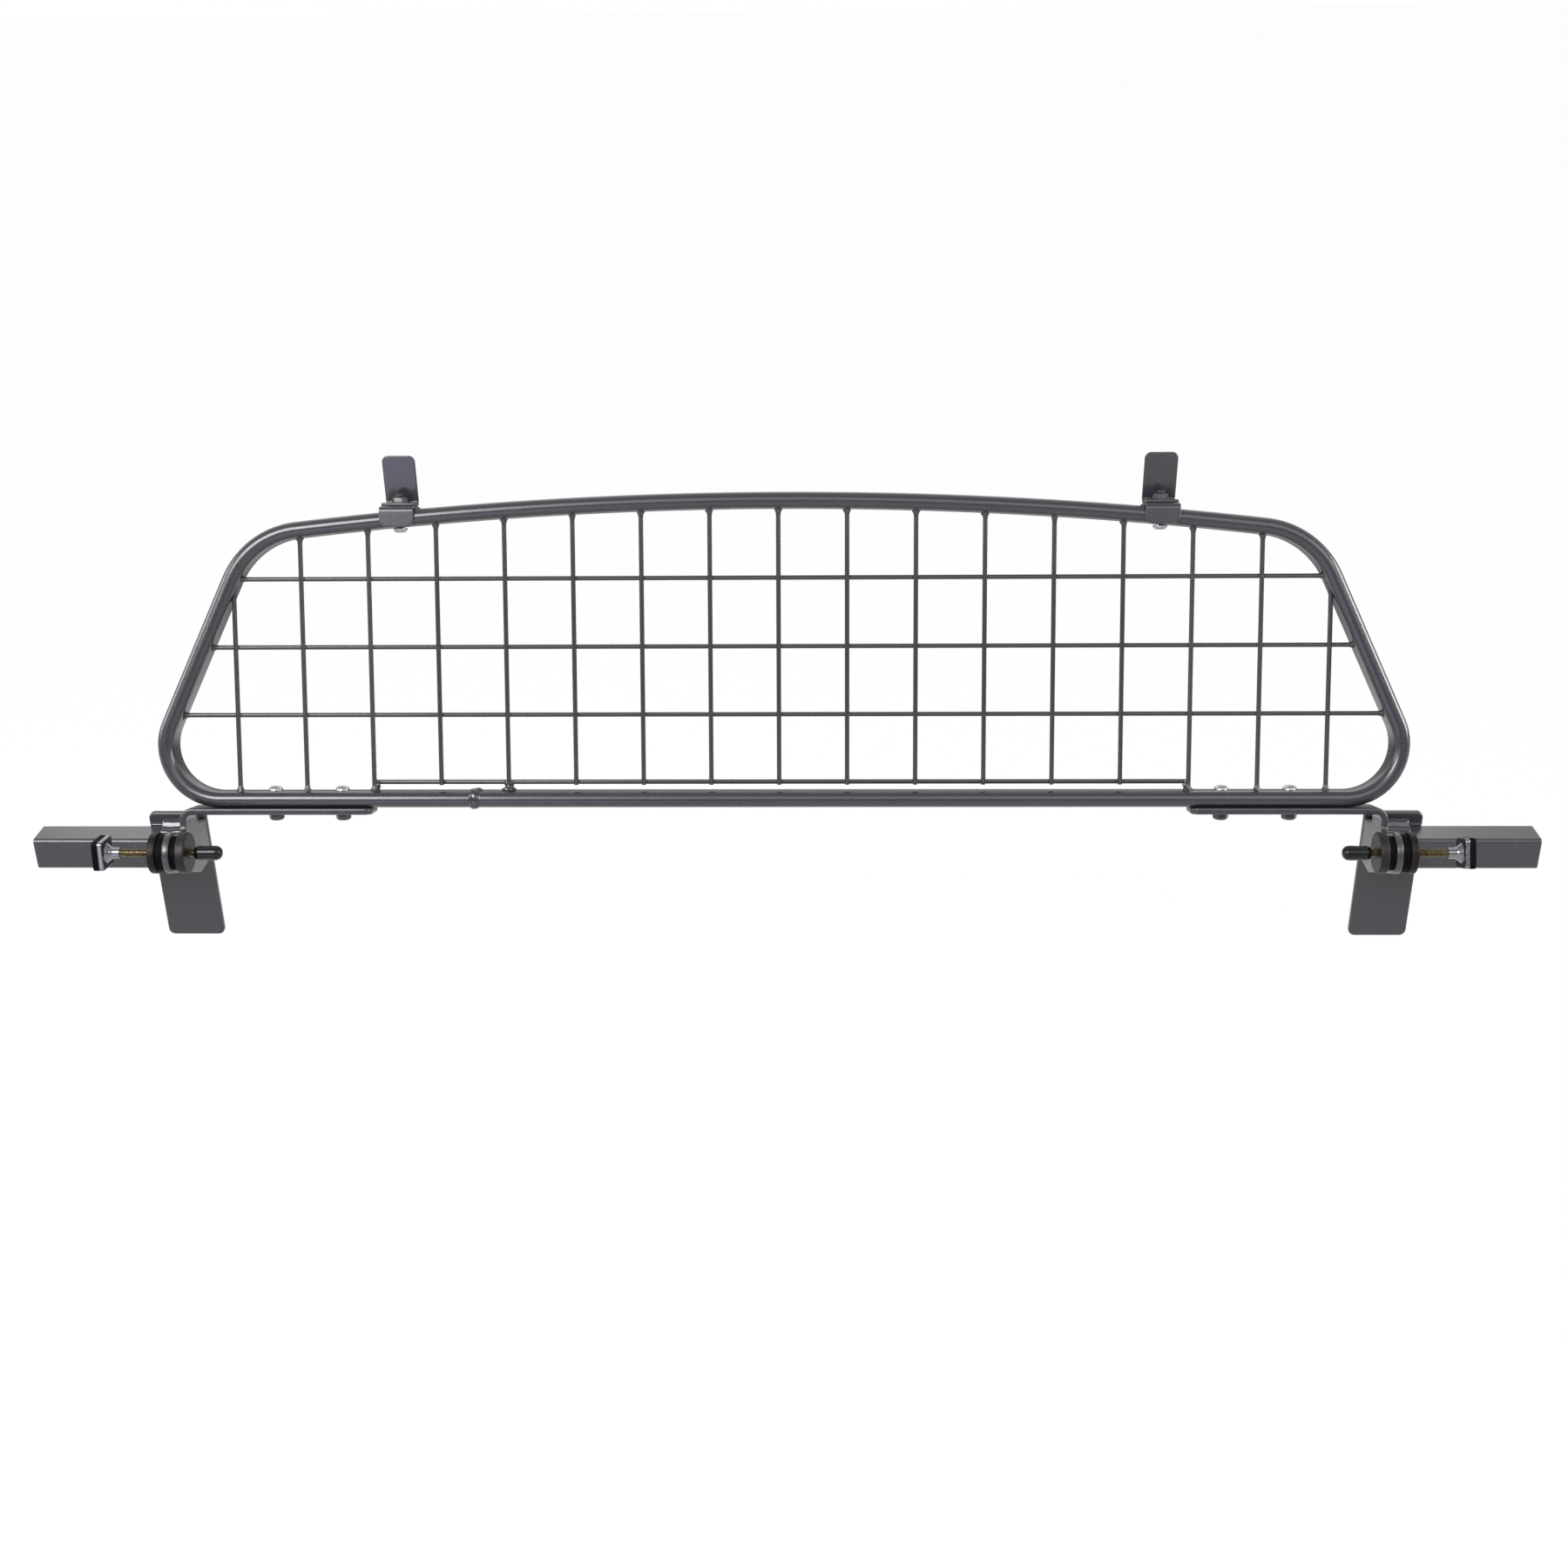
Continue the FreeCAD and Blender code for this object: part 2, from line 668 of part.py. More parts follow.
def make_back_plate():
    """The rounded plate behind the right leg."""
    body = new_body("right_back_plate")
    sketch = new_sketch(body, "Plate", "XZ_Plane")
    right, low = f"({LEG_FACE} + plate_width)", "-(plate_drop + plate_height)"
    corners = [(LEG_FACE, low), (right, low), (right, "-plate_drop"), (LEG_FACE, "-plate_drop")]
    add_outline(sketch, corners)
    pad(body, sketch, "plate_thickness", reverse=True)
    names = straight_edges(body.Tip.Shape, Vector(0, 1, 0))
    round_edges(body, names, "plate_corner_radius")
    body.Placement = Placement(Vector(0, value("plate_setback"), 0), Rotation())
    return body


def make_arm():
    """The square tube that reaches out from the right leg along the back plate."""
    body = new_body("right_arm_tube")
    for name, wall in (("Outside", "0"), ("Bore", "arm_wall")):
        sketch = new_sketch(body, name, "YZ_Plane")
        near, far = f"-(arm_side - {wall})", f"-({wall})" if wall != "0" else "0"
        low, high = f"-(arm_drop + arm_side - {wall})", f"-(arm_drop + {wall})"
        add_outline(sketch, [(near, low), (far, low), (far, high), (near, high)])
        if name == "Outside":
            pad(body, sketch, "arm_reach")
            names = straight_edges(body.Tip.Shape, Vector(1, 0, 0))
            round_edges(body, names, "arm_corner_radius")
        else:
            pocket(body, sketch, "arm_reach + overrun", reverse=True)
    body.Placement = Placement(Vector(value(LEG_BACK), value("plate_setback"), 0), Rotation())
    return body


def make_plate_weld():
    """The fat weld bead over the arm, in the corner between the plate and the leg."""
    body = new_body("right_plate_weld")
    sketch = new_sketch(body, "Bead", "YZ_Plane")
    add_outline(sketch, [
        ("-bead_reach", "0"),
        ("0", "0"),
        ("0", "bead_rise"),
        ("-bead_shoulder", "bead_rise"),
    ])
    pad(body, sketch, "bead_length")
    shoulder = -value("bead_shoulder")
    ridge = straight_edges(body.Tip.Shape, Vector(1, 0, 0),
                           lambda middle: abs(middle.y - shoulder) < 1e-3)
    round_edges(body, ridge, "bead_shoulder_round")
    far = value("bead_length")
    rims = [f"Edge{n}" for n, edge in enumerate(body.Tip.Shape.Edges, start=1)
            if edge.BoundBox.XMin > far - 1e-3 and edge.BoundBox.ZMax > 1e-3
            and edge.BoundBox.YMin < -1e-3]
    round_edges(body, rims, "bead_end_round")
    place = Vector(value(LEG_BACK), value("plate_setback"), -value("arm_drop"))
    body.Placement = Placement(place, Rotation())
    return body


def make_screw(label, grip, point):
    """A button-head screw, its head above its own origin and its shank below."""
    end = f"-({grip} + nut_height + {point})"
    body = turned(label, [
        ("0", end),
        ("screw_radius", end),
        ("screw_radius", "0"),
        ("screw_head_radius", "0"),
        ("screw_head_radius", "screw_head_height"),
        ("0", "screw_head_height"),
    ])
    top = value("screw_head_height")
    rims = [f"Edge{n}" for n, edge in enumerate(body.Tip.Shape.Edges, start=1)
            if isinstance(edge.Curve, Part.Circle) and abs(edge.CenterOfMass.z - top) < 1e-3]
    round_edges(body, rims, "screw_head_round")
    return body


def make_nut(label):
    """A hexagon nut, its lower face at its own origin."""
    body = new_body(label)
    sketch = new_sketch(body, "Hexagon", "XY_Plane")
    corner = "nut_across_flats / sqrt(3)"
    add_outline(sketch, [
        (f"{corner} * cos({60 * step})", f"{corner} * sin({60 * step})" if step % 3 else "0")
        for step in range(6)
    ])
    add_circle(sketch, "screw_radius")
    pad(body, sketch, "nut_height")
    return body


def make_strap_fasteners():
    """The two screws and nuts that hold the hoop to the right strap."""
    grip = "(tube_thickness + strap_gauge)"
    upside_down = Rotation(Vector(1, 0, 0), 180)
    screws, nuts = [], []
    for number in range(2):
        place = strap_screw_place(number)
        screw = make_screw(f"strap_screw_{number + 1}", grip, "strap_screw_point")
        screw.Placement = guard_frame(place, "0", "tube_thickness")
        nut = make_nut(f"strap_nut_{number + 1}")
        nut.Placement = guard_frame(place, "0", "-strap_gauge", upside_down)
        screws.append(screw)
        nuts.append(nut)
    return group("right_strap_screws", screws), group("right_strap_nuts", nuts)


# The saddle lies level on the hoop's arch, so it touches it at the end nearer the middle
SADDLE_FOOT = arch_height(f"{SADDLE_PLACE} - saddle_width / 2")
SADDLE_TOP = f"({SADDLE_FOOT} + saddle_gauge)"


def make_saddle():
    """The bent plate over the hoop's top and down its front, under the right tab."""
    body = new_body("right_saddle")
    sketch = new_sketch(body, "Saddle", "YZ_Plane")
    front = "-(tube_depth / 2 + saddle_clearance)"
    face, rear = f"({front} - saddle_gauge)", "tube_depth / 2"
    low = "-(saddle_flap - saddle_gauge)"
    add_outline(sketch, [
        (face, "saddle_gauge"),
        (face, low),
        (front, low),
        (front, "0"),
        (rear, "0"),
        (rear, "saddle_gauge"),
    ])
    pad(body, sketch, "saddle_width", both=True)
    inside, outside = Vector(0, value(front), 0), Vector(0, value(face), value("saddle_gauge"))
    for corner, radius in ((inside, "saddle_bend_radius"),
                           (outside, "saddle_bend_radius + saddle_gauge")):
        names = straight_edges(
            body.Tip.Shape, Vector(1, 0, 0),
            lambda middle: (Vector(0, middle.y, middle.z) - corner).Length < 1e-3)
        round_edges(body, names, radius)
    bottom = value(low)
    names = straight_edges(
        body.Tip.Shape, Vector(0, 1, 0), lambda middle: abs(middle.z - bottom) < 1e-3)
    round_edges(body, names, "saddle_corner_cut", "Chamfer")
    hole = new_sketch(body, "Hole", "XY_Plane")
    add_circle(hole, HOLE_RADIUS)
    pocket(body, hole, "saddle_gauge + overrun", reverse=True)
    body.Placement = guard_frame(SADDLE_PLACE, "0", SADDLE_FOOT)
    return body


def make_tab():
    """The right tab: a foot on the saddle, and a leaf that stands upright in the car."""
    body = new_body("right_top_tab")
    sketch = new_sketch(body, "Tab", "YZ_Plane")
    lean_back, lean_up = "sin(lean_angle)", "cos(lean_angle)"
    inner = f"(tab_heel - tab_gauge * {lean_up} - tab_gauge * (1 + {lean_back}) * tan(lean_angle))"
    add_outline(sketch, [
        ("-tab_toe", "0"),
        ("tab_heel", "0"),
        (f"tab_heel - tab_height * {lean_back}", f"tab_height * {lean_up}"),
        (f"tab_heel - tab_height * {lean_back} - tab_gauge * {lean_up}",
         f"tab_height * {lean_up} - tab_gauge * {lean_back}"),
        (inner, "tab_gauge"),
        ("-tab_toe", "tab_gauge"),
    ])
    pad(body, sketch, "tab_width", both=True)
    inside, outside = Vector(0, value(inner), value("tab_gauge")), Vector(0, value("tab_heel"), 0)
    for corner, radius in ((inside, "tab_bend_radius"),
                           (outside, "tab_bend_radius + tab_gauge")):
        names = straight_edges(
            body.Tip.Shape, Vector(1, 0, 0),
            lambda middle: (Vector(0, middle.y, middle.z) - corner).Length < 1e-3)
        round_edges(body, names, radius)
    through = Rotation(Vector(1, 0, 0), value("lean_angle")).multVec(Vector(0, 1, 0))
    names = straight_edges(body.Tip.Shape, through)
    round_edges(body, names, "tab_corner_radius")
    hole = new_sketch(body, "Hole", "XY_Plane")
    add_circle(hole, "screw_radius + running_clearance")
    pocket(body, hole, "tab_gauge + overrun", reverse=True)
    body.Placement = guard_frame(SADDLE_PLACE, "0", f"{SADDLE_TOP} + end_play")
    return body


def make_saddle_fasteners():
    """The screw up through the hoop, the saddle and the tab, and its nut."""
    # The head is square to the screw, so it touches the sloping tube at its outer side
    head = f"({arch_height(f'{SADDLE_PLACE} + screw_head_radius')} - tube_thickness)"
    nut_seat = f"({SADDLE_TOP} + tab_gauge + 2 * end_play)"
    screw = make_screw("right_tab_screw", f"({nut_seat} - {head})", "tab_screw_point")
    upside_down = Rotation(Vector(1, 0, 0), 180)
    screw.Placement = guard_frame(SADDLE_PLACE, "0", head, upside_down)
    nut = make_nut("right_tab_nut")
    nut.Placement = guard_frame(SADDLE_PLACE, "0", nut_seat)
    return screw, nut


# The right jack's pieces follow each other outwards from the leg's two faces
INNER_WHEEL = f"({LEG_FACE} - inner_washer_thickness - end_play - inner_wheel_thickness)"
CAP_MOUTH = f"({INNER_WHEEL} - inner_thread_run)"
OUTER_WHEEL = f"({LEG_BACK} + outer_washer_thickness + end_play)"
FOOT_MOUTH = f"({OUTER_WHEEL} + outer_thread_run + outer_wheel_thickness)"
FOOT_FACE = "(foot_barrel_length + foot_flare_length + foot_thickness)"


def make_jack():
    """Washers, wheels, threaded rod and cap of the right screw jack."""
    bore = "(rod_radius + hole_clearance)"
    pieces = []
    for name, radius, thickness, place in (
        ("right_inner_washer", "inner_washer_radius", "inner_washer_thickness",
         f"{LEG_FACE} - inner_washer_thickness"),
        ("right_outer_washer", "outer_washer_radius", "outer_washer_thickness", LEG_BACK),
    ):
        washer = ring(name, radius, bore, thickness)
        washer.Placement = jack_frame(place)
        pieces.append(washer)
    for name, thickness, place in (
        ("right_inner_wheel", "inner_wheel_thickness", INNER_WHEEL),
        ("right_outer_wheel", "outer_wheel_thickness", OUTER_WHEEL),
    ):
        wheel = ring(name, "wheel_radius", "rod_radius + running_clearance", thickness)
        radius = value("wheel_radius")
        rims = [f"Edge{n}" for n, edge in enumerate(wheel.Tip.Shape.Edges, start=1)
                if isinstance(edge.Curve, Part.Circle) and edge.Curve.Radius > radius - 1e-3]
        round_edges(wheel, rims, "wheel_edge_cut", "Chamfer")
        wheel.Placement = jack_frame(place)
        pieces.append(wheel)
    cap_start = f"({CAP_MOUTH} - cap_length)"
    rod_start = f"({cap_start} + cap_end_wall)"
    length = f"({FOOT_MOUTH} + foot_bore_depth - {rod_start})"
    rod = turned("right_jack_rod", [
        ("0", "0"), ("rod_radius", "0"), ("rod_radius", length), ("0", length)])
    rod.Placement = jack_frame(rod_start)
    cap = turned("right_rod_cap", [
        ("0", "0"),
        ("cap_radius", "0"),
        ("cap_radius", "cap_length"),
        ("rod_radius", "cap_length"),
        ("rod_radius", "cap_end_wall"),
        ("0", "cap_end_wall"),
    ])
    rims = [f"Edge{n}" for n, edge in enumerate(cap.Tip.Shape.Edges, start=1)
            if isinstance(edge.Curve, Part.Circle) and edge.CenterOfMass.z < 1e-3]
    round_edges(cap, rims, "cap_dome_radius")
    cap.Placement = jack_frame(cap_start)
    return pieces + [rod, cap]


def foot_placement(side, turn, along):
    """Placement of a foot's piece on the right (1) or left (-1) jack, turned about its line."""
    outwards = Rotation(Vector(0, 1, 0), side * 90)
    return Placement(
        Vector(side * value(along), 0, 0), outwards.multiply(Rotation(Vector(0, 0, 1), turn)))


def make_foot(name, side, turn):
    """A jack's foot, turned neck and square plate in one, with its rubber facing."""
    foot = turned(f"{name}_jack_foot", [
        ("rod_radius + running_clearance", "0"),
        ("foot_barrel_radius", "0"),
        ("foot_barrel_radius", "foot_barrel_length"),
        ("foot_flare_radius", "foot_barrel_length + foot_flare_length"),
        ("0", "foot_barrel_length + foot_flare_length"),
        ("0", "foot_bore_depth + end_play"),
        ("rod_radius + running_clearance", "foot_bore_depth + end_play"),
    ])
    square_plate(foot, "foot_barrel_length + foot_flare_length", "foot_thickness")
    foot.Placement = foot_placement(side, turn, FOOT_MOUTH)
    facing = new_body(f"{name}_foot_pad")
    square_plate(facing, "0", "pad_thickness")
    facing.Placement = foot_placement(side, turn, f"{FOOT_MOUTH} + {FOOT_FACE}")
    return [foot, facing]


def square_plate(body, start, thickness):
    """A square plate with rounded corners, added to a foot's piece."""
    sketch = new_sketch(body, "Square", "XY_Plane")
    sketch.AttachmentOffset = Placement(Vector(0, 0, value(start)), Rotation())
    half = "foot_side / 2"
    add_outline(sketch, [
        (f"-{half}", f"-{half}"), (half, f"-{half}"), (half, half), (f"-{half}", half)])
    pad(body, sketch, thickness)
    names = straight_edges(body.Tip.Shape, Vector(0, 0, 1))
    round_edges(body, names, "foot_corner_radius")


window = make_window()
nodes = [make_hoop(), make_seam()]
nodes += make_mesh(window)
right_side = [make_bracket(), make_back_plate(), make_arm(), make_plate_weld()]
right_side += make_strap_fasteners()
right_side += [make_saddle(), make_tab()]
right_side += make_saddle_fasteners()
right_side += make_jack()
nodes += right_side
nodes += [mirrored(piece, piece.Label.replace("right_", "left_")) for piece in right_side]
nodes += make_foot("right", 1, -FOOT_TURNS["right"])
nodes += make_foot("left", -1, FOOT_TURNS["left"])

doc.recompute()
for thing in doc.Objects:
    if "Invalid" in thing.State or "Error" in thing.State:
        raise ValueError(f"{thing.Label} did not compute")
for node in nodes:
    if node.Shape.isNull() or not node.Shape.isValid():
        raise ValueError(f"{node.Label} has no valid shape")

os.makedirs("parts", exist_ok=True)
for node in nodes:
    node.Shape.exportStep(f"parts/{node.Label}.step")
print(len(nodes), "nodes,", sum(len(node.Shape.Solids) for node in nodes), "solids")
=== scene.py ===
import math

import bmesh
import bpy
from mathutils import Matrix, Vector, noise


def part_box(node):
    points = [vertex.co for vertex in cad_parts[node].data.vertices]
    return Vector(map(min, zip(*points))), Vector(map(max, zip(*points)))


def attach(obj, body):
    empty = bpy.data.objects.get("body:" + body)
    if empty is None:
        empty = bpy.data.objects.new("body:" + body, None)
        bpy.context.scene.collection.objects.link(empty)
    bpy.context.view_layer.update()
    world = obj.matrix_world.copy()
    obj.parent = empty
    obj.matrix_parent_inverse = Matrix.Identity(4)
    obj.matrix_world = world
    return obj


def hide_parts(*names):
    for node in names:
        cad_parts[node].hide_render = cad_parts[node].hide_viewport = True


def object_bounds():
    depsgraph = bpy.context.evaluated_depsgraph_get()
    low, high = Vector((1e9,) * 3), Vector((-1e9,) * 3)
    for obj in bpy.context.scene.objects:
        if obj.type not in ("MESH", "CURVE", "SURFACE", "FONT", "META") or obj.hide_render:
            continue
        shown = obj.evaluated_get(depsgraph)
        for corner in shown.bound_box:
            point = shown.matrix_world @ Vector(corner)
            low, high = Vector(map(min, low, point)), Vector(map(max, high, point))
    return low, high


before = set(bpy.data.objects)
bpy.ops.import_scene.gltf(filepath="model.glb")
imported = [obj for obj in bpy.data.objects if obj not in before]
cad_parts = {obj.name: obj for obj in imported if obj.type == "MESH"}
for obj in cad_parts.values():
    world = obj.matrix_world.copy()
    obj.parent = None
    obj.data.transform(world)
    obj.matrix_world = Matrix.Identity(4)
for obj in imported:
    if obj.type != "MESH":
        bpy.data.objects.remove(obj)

# A car dog guard: wire mesh in a bent oval tube, two plate brackets with square arms and screw
# jacks, and two tabs on top. Metres throughout, +X to the right, +Y away from the camera, +Z up.
# The guard's own axes lean back: X across, Y to its back and Z up its height.

cad_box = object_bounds()
MM = 0.001
SIDES = {"left": -1, "right": 1}

# Guard's frame, as in the model: top face of the straps, middle of the tube's depth
LEAN = math.radians(20)
GUARD_SETBACK = 46.7 * MM
GUARD_RISE = 14.1 * MM
GUARD = Matrix.Translation((0, GUARD_SETBACK, GUARD_RISE)) @ Matrix.Rotation(-LEAN, 4, "X")

# Hoop, over the outside of its tube, and the steps round its section and its bends
HOOP_WIDTH = 919 * MM
HOOP_HEIGHT = 230 * MM
SIDE_SLOPE = math.radians(24.6)
LEG_LINE = Vector((-math.sin(SIDE_SLOPE), 0, math.cos(SIDE_SLOPE)))
LOWER_RADIUS = 45.5 * MM
UPPER_RADIUS = 68.5 * MM
ARCH_RADIUS = 3100 * MM
TUBE_THICKNESS = 12 * MM
TUBE_DEPTH = 24 * MM
SECTION_STEPS, LOWER_STEPS, UPPER_STEPS, ARCH_STEPS = 14, 28, 22, 40

# Hoop's seam: place, width, height of its crown from side to side, and its lumps, each with its
# middle and its size across, back and up; crown and lumps in millimetres
SEAM_INSET = 234.5 * MM
SEAM_WIDTH = 7.2 * MM
SEAM_SINK = 0.4 * MM
SEAM_CROWN = (0.4, 0.9, 1.2, 1.3, 1.1, 0.7, -0.4)
SEAM_LUMPS = (((0.4, -8.9, 6.2), (5.6, 5.0, 7.5)), ((2.4, -2.5, 11.6), (3.6, 4.0, 2.3)),
              ((-1.6, -3.4, 11.8), (3.0, 2.8, 1.8)), ((0.6, 2.5, 12.0), (3.6, 4.2, 1.5)))

# Mesh; a flare's corners are radius and height, from inside the tube up to the bare wire
WIRE_RADIUS = 1.7 * MM
WIRE_STEPS = 20
WIRE_END_ROUND = 0.5 * MM
FULL_UPRIGHTS = (1, 2, 3, 15, 16, 17)
FLARE_RADIUS = 3 * MM
FLARE_LENGTH = 4.5 * MM
FLARE_SINK = 1.2 * MM
FLARE = ((FLARE_RADIUS * 1.25, -FLARE_SINK), (FLARE_RADIUS, 0.2 * MM),
         (WIRE_RADIUS * 1.32, FLARE_LENGTH * 0.42), (WIRE_RADIUS * 1.08, FLARE_LENGTH * 0.75),
         (WIRE_RADIUS, FLARE_LENGTH * 1.05))
FLARE_LUMP = (1.5 * MM, 1.5 * MM, 1.2 * MM)
FLARE_LUMP_INSET = 1.1 * MM
CROSSING_SIZE = (2.1 * MM, 1.8 * MM, 2.1 * MM)
ROW_WELD_INSET = 101.7 * MM
ROW_WELD_LEAD = 1.8 * MM

# Fasteners
SCREW_RADIUS = 3 * MM
HEAD_RADIUS = 5.25 * MM
HEAD_HEIGHT = 3.3 * MM
HEAD_DOME = ((0.98, 0), (1, 0.2), (0.93, 0.52), (0.76, 0.83))
HEAD_STEPS = 36
SOCKET_WIDTH = 4 * MM
SOCKET_DEPTH = HEAD_HEIGHT * 0.6
NUT_WIDTH = 10 * MM
SHANK_STEPS = 24

# Plates and arms
PLATE_EDGE = 1.5 * MM
THIN_EDGE = 0.8 * MM
ARM_WALL = 1.5 * MM
ARM_CORNER = 3 * MM
ARM_CUT_EDGE = 0.4 * MM

# Sections of the welds over the arm: corners forward of the plate and up from the arm, with
# the numbers of the rounded ones and their radii, in millimetres
HUMP = (((0, 0), (12.4, 0), (11.4, 1.2), (7.7, 1.6), (4.9, 5.8), (2.8, 6.3), (0, 6.3)),
        ((2, 1), (3, 1.5), (4, 1.8), (5, 0.9)))
SEAM = (((0, 0), (2, 0), (1.7, 1.7), (0, 2)), ((2, 1),))
HUMP_STEPS, SEAM_STEPS = 40, 12

# Screw jack
THREAD_RADIUS = 2.96 * MM
THREAD_ROOT = 2.45 * MM
THREAD_PITCH = 1 * MM
THREAD_STEPS = 20
SAME_THREAD_POINT = 0.005 * MM
WHEEL_STEPS, WASHER_STEPS, CAP_STEPS, FOOT_STEPS = 96, 72, 48, 48
WHEEL_BORE = 3.05 * MM
WHEEL_ROUND = 1.1 * MM
COUNTERSINK_DEPTH, COUNTERSINK_WIDTH = 0.9 * MM, 1.1 * MM
WASHER_BORE = 3.2 * MM
WASHER_ROUND = 0.6 * MM
BARREL_BORE, BARREL_RADIUS, NECK_RADIUS = 3 * MM, 4 * MM, 7.6 * MM
FOOT_WIDTH = 22 * MM
FOOT_THICKNESS = 3.6 * MM
FOOT_CORNER = 3 * MM
FOOT_EDGE, PAD_EDGE = 1.1 * MM, 0.6 * MM
FOOT_TURNS = {"right": -math.radians(26), "left": math.radians(10)}

# Angles between faces from which an edge is shaded sharp: on most pieces, on nuts and threads,
# on what is bent or domed, on the hoop's seam and on lumps of weld
SHARP_EDGE = math.radians(34)
SHARP_ON_NUTS = math.radians(50)
SHARP_ON_BENDS = math.radians(60)
SHARP_ON_SEAM = math.radians(70)
SHARP_ON_WELDS = math.radians(80)

# Angles from which an edge is rounded by the paint, is the square rim of a plate or tube, or
# is kept at all when a node's flat faces are joined; and the distance below which points are one
PAINTED_EDGE = math.radians(40)
SQUARE_EDGE = math.radians(60)
FLAT_EDGE = math.radians(1.5)
SAME_POINT = 0.002 * MM

# Places of the colour sockets on a Mix node
MIX_LOW, MIX_HIGH, MIX_COLOUR = 6, 7, 2

# Studio: floor, and the viewpoint found from the photograph
FLOOR_DROP = 0.22
FLOOR_REACH = 12
CAMERA_PLACE = (0.0389, -1.2095, 0.6549)
CAMERA_PITCH, CAMERA_YAW, CAMERA_ROLL = math.radians(26.35), math.radians(1.61), math.radians(0.76)
CAMERA_LENS, CAMERA_SENSOR = 43.77, 36


class Strength:
    """A number that varies over a surface; sums and products on it add Math nodes."""

    def __init__(self, finish, socket):
        self.finish, self.socket = finish, socket

    def _maths(self, operation, first, second):
        node = self.finish.add(
            "ShaderNodeMath", {"operation": operation}, {0: first, 1: second})
        return Strength(self.finish, node.outputs[0])

    def __add__(self, other):
        return self._maths("ADD", self, other)

    def __sub__(self, other):
        return self._maths("SUBTRACT", self, other)

    def __rsub__(self, other):
        return self._maths("SUBTRACT", other, self)

    def __mul__(self, other):
        return self._maths("MULTIPLY", self, other)

    def __pow__(self, other):
        return self._maths("POWER", self, other)

    __radd__ = __add__


class Finish:
    """A procedural material, with its Principled shader at hand."""

    def __init__(self, name, **constants):
        self.material = bpy.data.materials.new(name)
        self.material.use_nodes = True
        self.nodes = self.material.node_tree.nodes
        self.links = self.material.node_tree.links
        self.shader = self.nodes["Principled BSDF"]
        self.place = self.add("ShaderNodeTexCoord").outputs["Object"]
        for socket, value in constants.items():
            self.shader.inputs[socket.replace("_", " ")].default_value = value

    def add(self, kind, settings=None, inputs=None):
        """A node of a kind: its settings first, then the values or links of its inputs."""
        node = self.nodes.new(kind)
        for key, value in (settings or {}).items():
            setattr(node, key, value)
        for key, value in (inputs or {}).items():
            socket = node.inputs[key]
            if isinstance(value, Strength):
                self.links.new(value.socket, socket)
            elif isinstance(value, bpy.types.NodeSocket):
                self.links.new(value, socket)
            else:
                socket.default_value = value
        return node

    def noise(self, size, detail, roughness=0.5):
        """Soft noise with features of about a size in metres."""
        node = self.add(
            "ShaderNodeTexNoise", {},
            {"Vector": self.place, "Scale": 1 / size, "Detail": detail, "Roughness": roughness})
        return Strength(self, node.outputs["Fac"])

    def spread(self, strength, low, high):
        """A strength stretched so that low becomes 0 and high becomes 1."""
        node = self.add(
            "ShaderNodeMapRange", {"clamp": True},
            {"Value": strength, "From Min": low, "From Max": high})
        return Strength(self, node.outputs["Result"])

    def blend(self, mask, low, high):
        """A colour between two, by a mask."""
        low, high = ((*colour, 1) if isinstance(colour, tuple) else colour
                     for colour in (low, high))
        node = self.add("ShaderNodeMix", {"data_type": "RGBA"},
                        {"Factor": mask, MIX_LOW: low, MIX_HIGH: high})
        return node.outputs[MIX_COLOUR]

    def along(self, axis):
        """A coordinate of the surface, in metres."""
        node = self.add("ShaderNodeSeparateXYZ", {}, {0: self.place})
        return Strength(self, node.outputs[axis])

    def set(self, socket, value):
        """Links a strength or a colour to one of the shader's inputs."""
        source = value.socket if isinstance(value, Strength) else value
        self.links.new(source, self.shader.inputs[socket])

    def bump(self, height, depth):
        """Relief of a depth in metres where height goes from 0 to 1."""
        node = self.add(
            "ShaderNodeBump", {}, {"Height": height, "Distance": depth, "Strength": 1.0})
        self.links.new(node.outputs["Normal"], self.shader.inputs["Normal"])


# Finishes

def powder_coat(name, dark, light, roughness=0.27, scuffing=0.0):
    """Satin gunmetal powder coat: fine orange peel, a faint fleck and slow cloudy shade."""
    finish = Finish(name, Specular_IOR_Level=0.5, Coat_Weight=0.3, Coat_Roughness=0.16)
    cloud = finish.noise(60 * MM, 3)
    fleck = finish.spread(finish.noise(0.5 * MM, 1), 0.4, 0.75)
    scuff = finish.spread(finish.noise(5 * MM, 5, 0.65), 0.48, 0.7)
    finish.set("Base Color", finish.blend(cloud * 0.7 + fleck * 0.3, dark, light))
    peel = finish.noise(2.2 * MM, 1)
    finish.set("Roughness", roughness - 0.03 + peel * 0.04 + fleck * 0.02 + scuff * scuffing)
    finish.bump(peel, 0.008 * MM)
    return finish.material


def bright_zinc(name, tint=(0.46, 0.46, 0.47), roughness=0.2):
    """Zinc-plated steel with faint tool marks and duller patches."""
    finish = Finish(name, Metallic=1.0)
    patch = finish.spread(finish.noise(2.5 * MM, 3), 0.35, 0.7)
    dull = tuple(channel * 0.78 for channel in tint)
    finish.set("Base Color", finish.blend(patch, tint, dull))
    finish.set("Roughness", roughness + patch * 0.12)
    finish.bump(finish.noise(0.7 * MM, 2), 0.02 * MM)
    return finish.material


